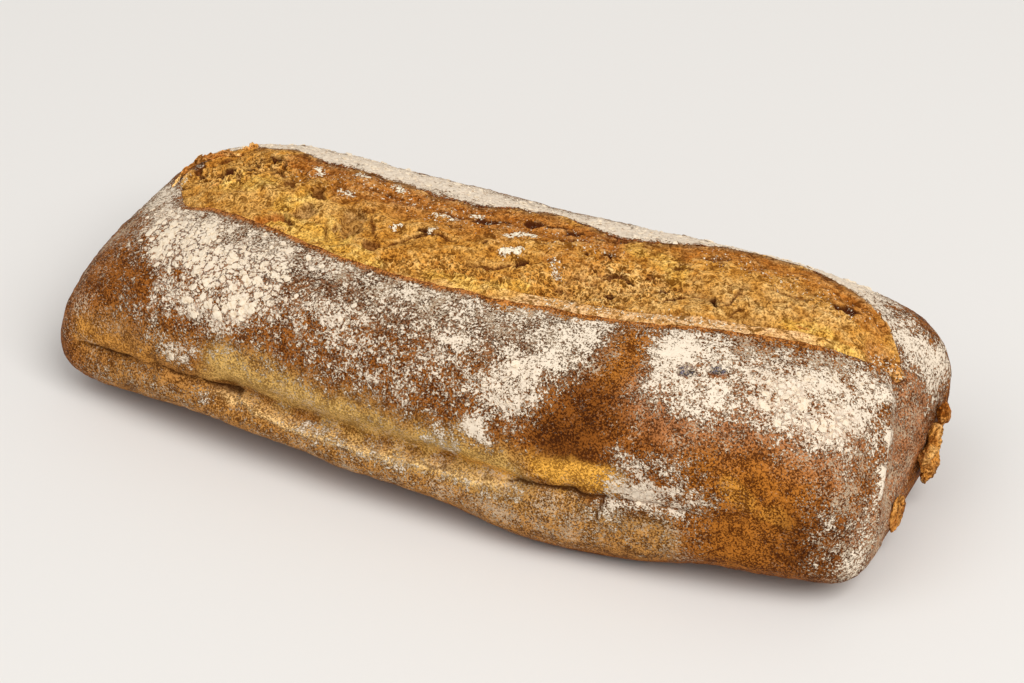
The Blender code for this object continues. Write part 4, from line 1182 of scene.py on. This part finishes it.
def flap(line, height, thick, lean):
    """Rings round a thin ragged flap that stands on a line and leans over."""
    line = np.array(line)
    share = np.linspace(0, len(line) - 1, FLAP_RINGS)
    foot = np.column_stack([through(list(enumerate(line[:, axis])), share) for axis in range(3)])
    side = unit(np.cross(unit(np.gradient(foot, axis=0)), (0, 0, 1.0)))
    ragged = 1 + FLAP_RAGGED * uneven(foot, FLAP_GRAIN, 3)
    tall = height * ragged * np.sin(np.pi * np.clip(share / share[-1] * 1.1 - 0.05, 0.02, 0.98)) ** 0.4
    angle = np.linspace(0, 2 * np.pi, FLAP_POINTS, endpoint=False)
    rise = (0.5 - 0.5 * np.cos(angle))[None, :] * tall[:, None] - FLAP_SUNK
    width = thick / 2 * np.sin(angle)[None, :] * (1.3 - 0.6 * (0.5 - 0.5 * np.cos(angle)))
    tilt = (rise / height).clip(0, None) ** 1.5
    rings = foot[:, None, :] - side[:, None, :] * width[..., None]
    rings = rings + np.array((0, 0, 1.0)) * rise[..., None] + np.array((*lean, 0)) * tilt[..., None]
    crumple = FLAP_CRUMPLE * uneven(rings.reshape(-1, 3), FLAP_CRUMPLE_SIZE, 2).reshape(rings.shape[:2])
    return rings + side[:, None, :] * crumple[..., None], tilt


for number, (line, height, thick, lean) in enumerate(FLAPS, 1):
    rings, tilt = flap(line, height, thick, lean)
    share = (0.35 + 0.9 * uneven(rings.reshape(-1, 3), FLAP_GOLD_SIZE, 2)).clip(0, 1)
    scrap(f"torn_flap_{number}", rings, tinted(linear(FLAP_TOAST), share, FLAP_GOLD))

# The loose flour
# Flour that caked in the oven and cracked into flat flakes up to 4 mm across, with smaller
# crumbs of it between them.  They lie on the crust where it is floured thickest.

FLAKE_SIZES, FLAKE_AMOUNT, FLAKE_SEED = (0.0004, 0.0019), 340000.0, 3
GRAIN_SIZES, GRAIN_AMOUNT, GRAIN_SEED = (0.0002, 0.00055), 1400000.0, 8
FLAKE_WHITE = (238, 222, 198)
# How rare large chips are, how narrow and flat chips get, how they taper, tilt and are jogged
FEW_LARGE, NARROWEST, FLATNESS, TAPER = 2.8, 0.65, 0.22, 0.8
TILT, JOG, JOG_SIZE = 0.25, 0.0011, 1 / 1100


def scatter_tree(name, finish):
    """A node tree that scatters flat chips where the value 'flakes' is high."""
    tree = bpy.data.node_groups.new(name, "GeometryNodeTree")
    sockets = {}
    for title, kind in (("Geometry", "NodeSocketGeometry"), ("Amount", "NodeSocketFloat"),
                        ("Smallest", "NodeSocketFloat"), ("Largest", "NodeSocketFloat"),
                        ("Sides", "NodeSocketInt"), ("Seed", "NodeSocketInt")):
        sockets[title] = tree.interface.new_socket(title, in_out="INPUT", socket_type=kind).identifier
    tree.interface.new_socket("Geometry", in_out="OUTPUT", socket_type="NodeSocketGeometry")
    start = Socket(tree)
    entry = tree.nodes.new("NodeGroupInput")
    given = {title: Socket(tree, entry.outputs[title]) for title in sockets}
    where = start.node("GeometryNodeInputNamedAttribute", {"Name": "flakes"})
    scattered = start.node("GeometryNodeDistributePointsOnFaces", {
        "Mesh": given["Geometry"], "Density": where * given["Amount"], "Seed": given["Seed"]})
    facing = Socket(tree, scattered.output.node.outputs["Rotation"])
    chance = start.node("FunctionNodeRandomValue", {"Seed": 1}, 1)
    size = given["Smallest"] + (given["Largest"] - given["Smallest"]) * chance ** FEW_LARGE
    stretch = start.node("FunctionNodeRandomValue", {"Min": NARROWEST, "Max": 1.0, "Seed": 2}, 1)
    scale = start.node("ShaderNodeCombineXYZ", {"X": size, "Y": size * stretch, "Z": size * FLATNESS})
    cone = start.node("GeometryNodeMeshCone", {
        "Vertices": given["Sides"], "Radius Top": TAPER, "Radius Bottom": 1.0, "Depth": 0.9},
        fill_type="TRIANGLE_FAN")
    placed = start.node("GeometryNodeInstanceOnPoints", {
        "Points": scattered, "Instance": cone, "Rotation": facing, "Scale": scale})
    spin = start.node("FunctionNodeRandomValue", {
        "Min": (-TILT, -TILT, 0.0), "Max": (TILT, TILT, 6.28), "Seed": 3}, data_type="FLOAT_VECTOR")
    turned = start.node("GeometryNodeRotateInstances", {"Instances": placed, "Rotation": spin})
    real = start.node("GeometryNodeRealizeInstances", {"Geometry": turned})
    jog = start.node("GeometryNodeInputPosition").noise(JOG_SIZE, 1.0, output="Color")
    jog = jog.plus((-0.5, -0.5, -0.5)).times(JOG)
    rough = start.node("GeometryNodeSetPosition", {"Geometry": real, "Offset": jog})
    done = start.node("GeometryNodeSetMaterial", {"Geometry": rough, "Material": finish})
    leave = tree.nodes.new("NodeGroupOutput")
    tree.links.new(done.output, leave.inputs["Geometry"])
    return tree, sockets


def scatter(ground, tree, sockets, name, values):
    """Runs the tree over a piece and keeps the result as a plain mesh of its own."""
    carrier = show(ground)
    modifier = carrier.modifiers.new(name, "NODES")
    modifier.node_group = tree
    for title, value in values.items():
        modifier[sockets[title]] = value
    bpy.context.view_layer.update()
    seen = carrier.evaluated_get(bpy.context.evaluated_depsgraph_get())
    mesh = bpy.data.meshes.new_from_object(seen)
    mesh.name = name
    carrier.modifiers.remove(modifier)
    bpy.data.objects.remove(carrier)
    return show(mesh)


flour_finish, start, shader, place = finish_material("caked flour")
powder = place.noise(0.0012, 3.0, 0.6)
colour = start.mix(rgba(FLOUR_CREAM), rgba(FLAKE_WHITE), powder.step(0.3, 0.55))
start.feed(shader, {"Base Color": colour, "Roughness": 0.95, "Specular IOR Level": 0.2,
                    "Normal": place.noise(0.0005, 2.0, 0.6).bump(0.5, 0.0003)})

ground = crust_mesh.copy()
keep(ground, flakes=caked * ramp(flour, 0.3, 0.9) ** 2)
tree, sockets = scatter_tree("flour chips", flour_finish)
for name, sizes, amount, sides, seed in (("flour_flakes", FLAKE_SIZES, FLAKE_AMOUNT, 6, FLAKE_SEED),
                                         ("flour_grains", GRAIN_SIZES, GRAIN_AMOUNT, 5, GRAIN_SEED)):
    chips = scatter(ground, tree, sockets, name, {"Amount": amount, "Smallest": sizes[0],
                                                  "Largest": sizes[1], "Sides": sides, "Seed": seed})
    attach(chips, "root")

# The floor, the light and the camera
# A pale plain floor, a large soft light above and behind the right end, and a weak one in
# front.  The camera looks down on the front and the right end.

FLOOR_HALF, FLOOR_COLOUR = 4.0, (227, 225, 222)
CAMERA_TURN, CAMERA_RISE = np.radians(26.0), np.radians(35.3)
CAMERA_DISTANCE, SIGHT_HEIGHT = 0.975, 0.035
SIGHT_RIGHT, SIGHT_UP = 0.003, -0.0028
SENSOR, FOCAL = 36.0, 100.1
WARM_WHITE, SKY_STRENGTH = (1.0, 0.985, 0.97), 0.45

floor_mesh = bpy.data.meshes.new("floor")
corners = [(x * FLOOR_HALF, y * FLOOR_HALF, 0.0) for x, y in ((-1, -1), (1, -1), (1, 1), (-1, 1))]
floor_mesh.from_pydata(corners, [], [(0, 1, 2, 3)])
floor = show(floor_mesh)
floor_finish, start, shader, place = finish_material("plain floor")
start.feed(shader, {"Base Color": rgba(FLOOR_COLOUR), "Roughness": 0.9})
floor_mesh.materials.append(floor_finish)
floor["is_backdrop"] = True


def soft_light(name, place, size, power, colour):
    """A square soft light that faces the loaf."""
    light = bpy.data.lights.new(name, "AREA")
    light.size, light.energy, light.color = size, power, colour
    lamp = bpy.data.objects.new(name, light)
    lamp.location = place
    lamp.rotation_euler = (Vector((0, 0, SIGHT_HEIGHT)) - Vector(place)).to_track_quat("-Z", "Y").to_euler()
    bpy.context.scene.collection.objects.link(lamp)


soft_light("key light", (1.98, -1.17, 2.79), 2.16, 95.0, (1.0, 0.985, 0.965))
soft_light("fill light", (-1.26, -2.16, 3.6), 3.24, 49.0, WARM_WHITE)
world = bpy.data.worlds.new("studio")
world.use_nodes = True
sky = world.node_tree.nodes["Background"].inputs
sky["Color"].default_value = (*WARM_WHITE, 1.0)
sky["Strength"].default_value = SKY_STRENGTH
bpy.context.scene.world = world

level = np.cos(CAMERA_RISE)
back = Vector((np.sin(CAMERA_TURN) * level, -np.cos(CAMERA_TURN) * level, np.sin(CAMERA_RISE)))
right = Vector((np.cos(CAMERA_TURN), np.sin(CAMERA_TURN), 0.0))
up = back.cross(right)
sight = Vector((0.0, 0.0, SIGHT_HEIGHT)) + Vector(CENTRE_SHIFT) + right * SIGHT_RIGHT + up * SIGHT_UP
lens = bpy.data.cameras.new("camera")
lens.sensor_width, lens.lens = SENSOR, FOCAL
lens.clip_start, lens.clip_end = 0.05, 20.0
camera = bpy.data.objects.new("camera", lens)
camera.location = sight + back * CAMERA_DISTANCE
camera.rotation_euler = (-back).to_track_quat("-Z", "Y").to_euler()
bpy.context.scene.collection.objects.link(camera)
bpy.context.scene.camera = camera
bpy.context.scene.view_settings.view_transform = "Standard"
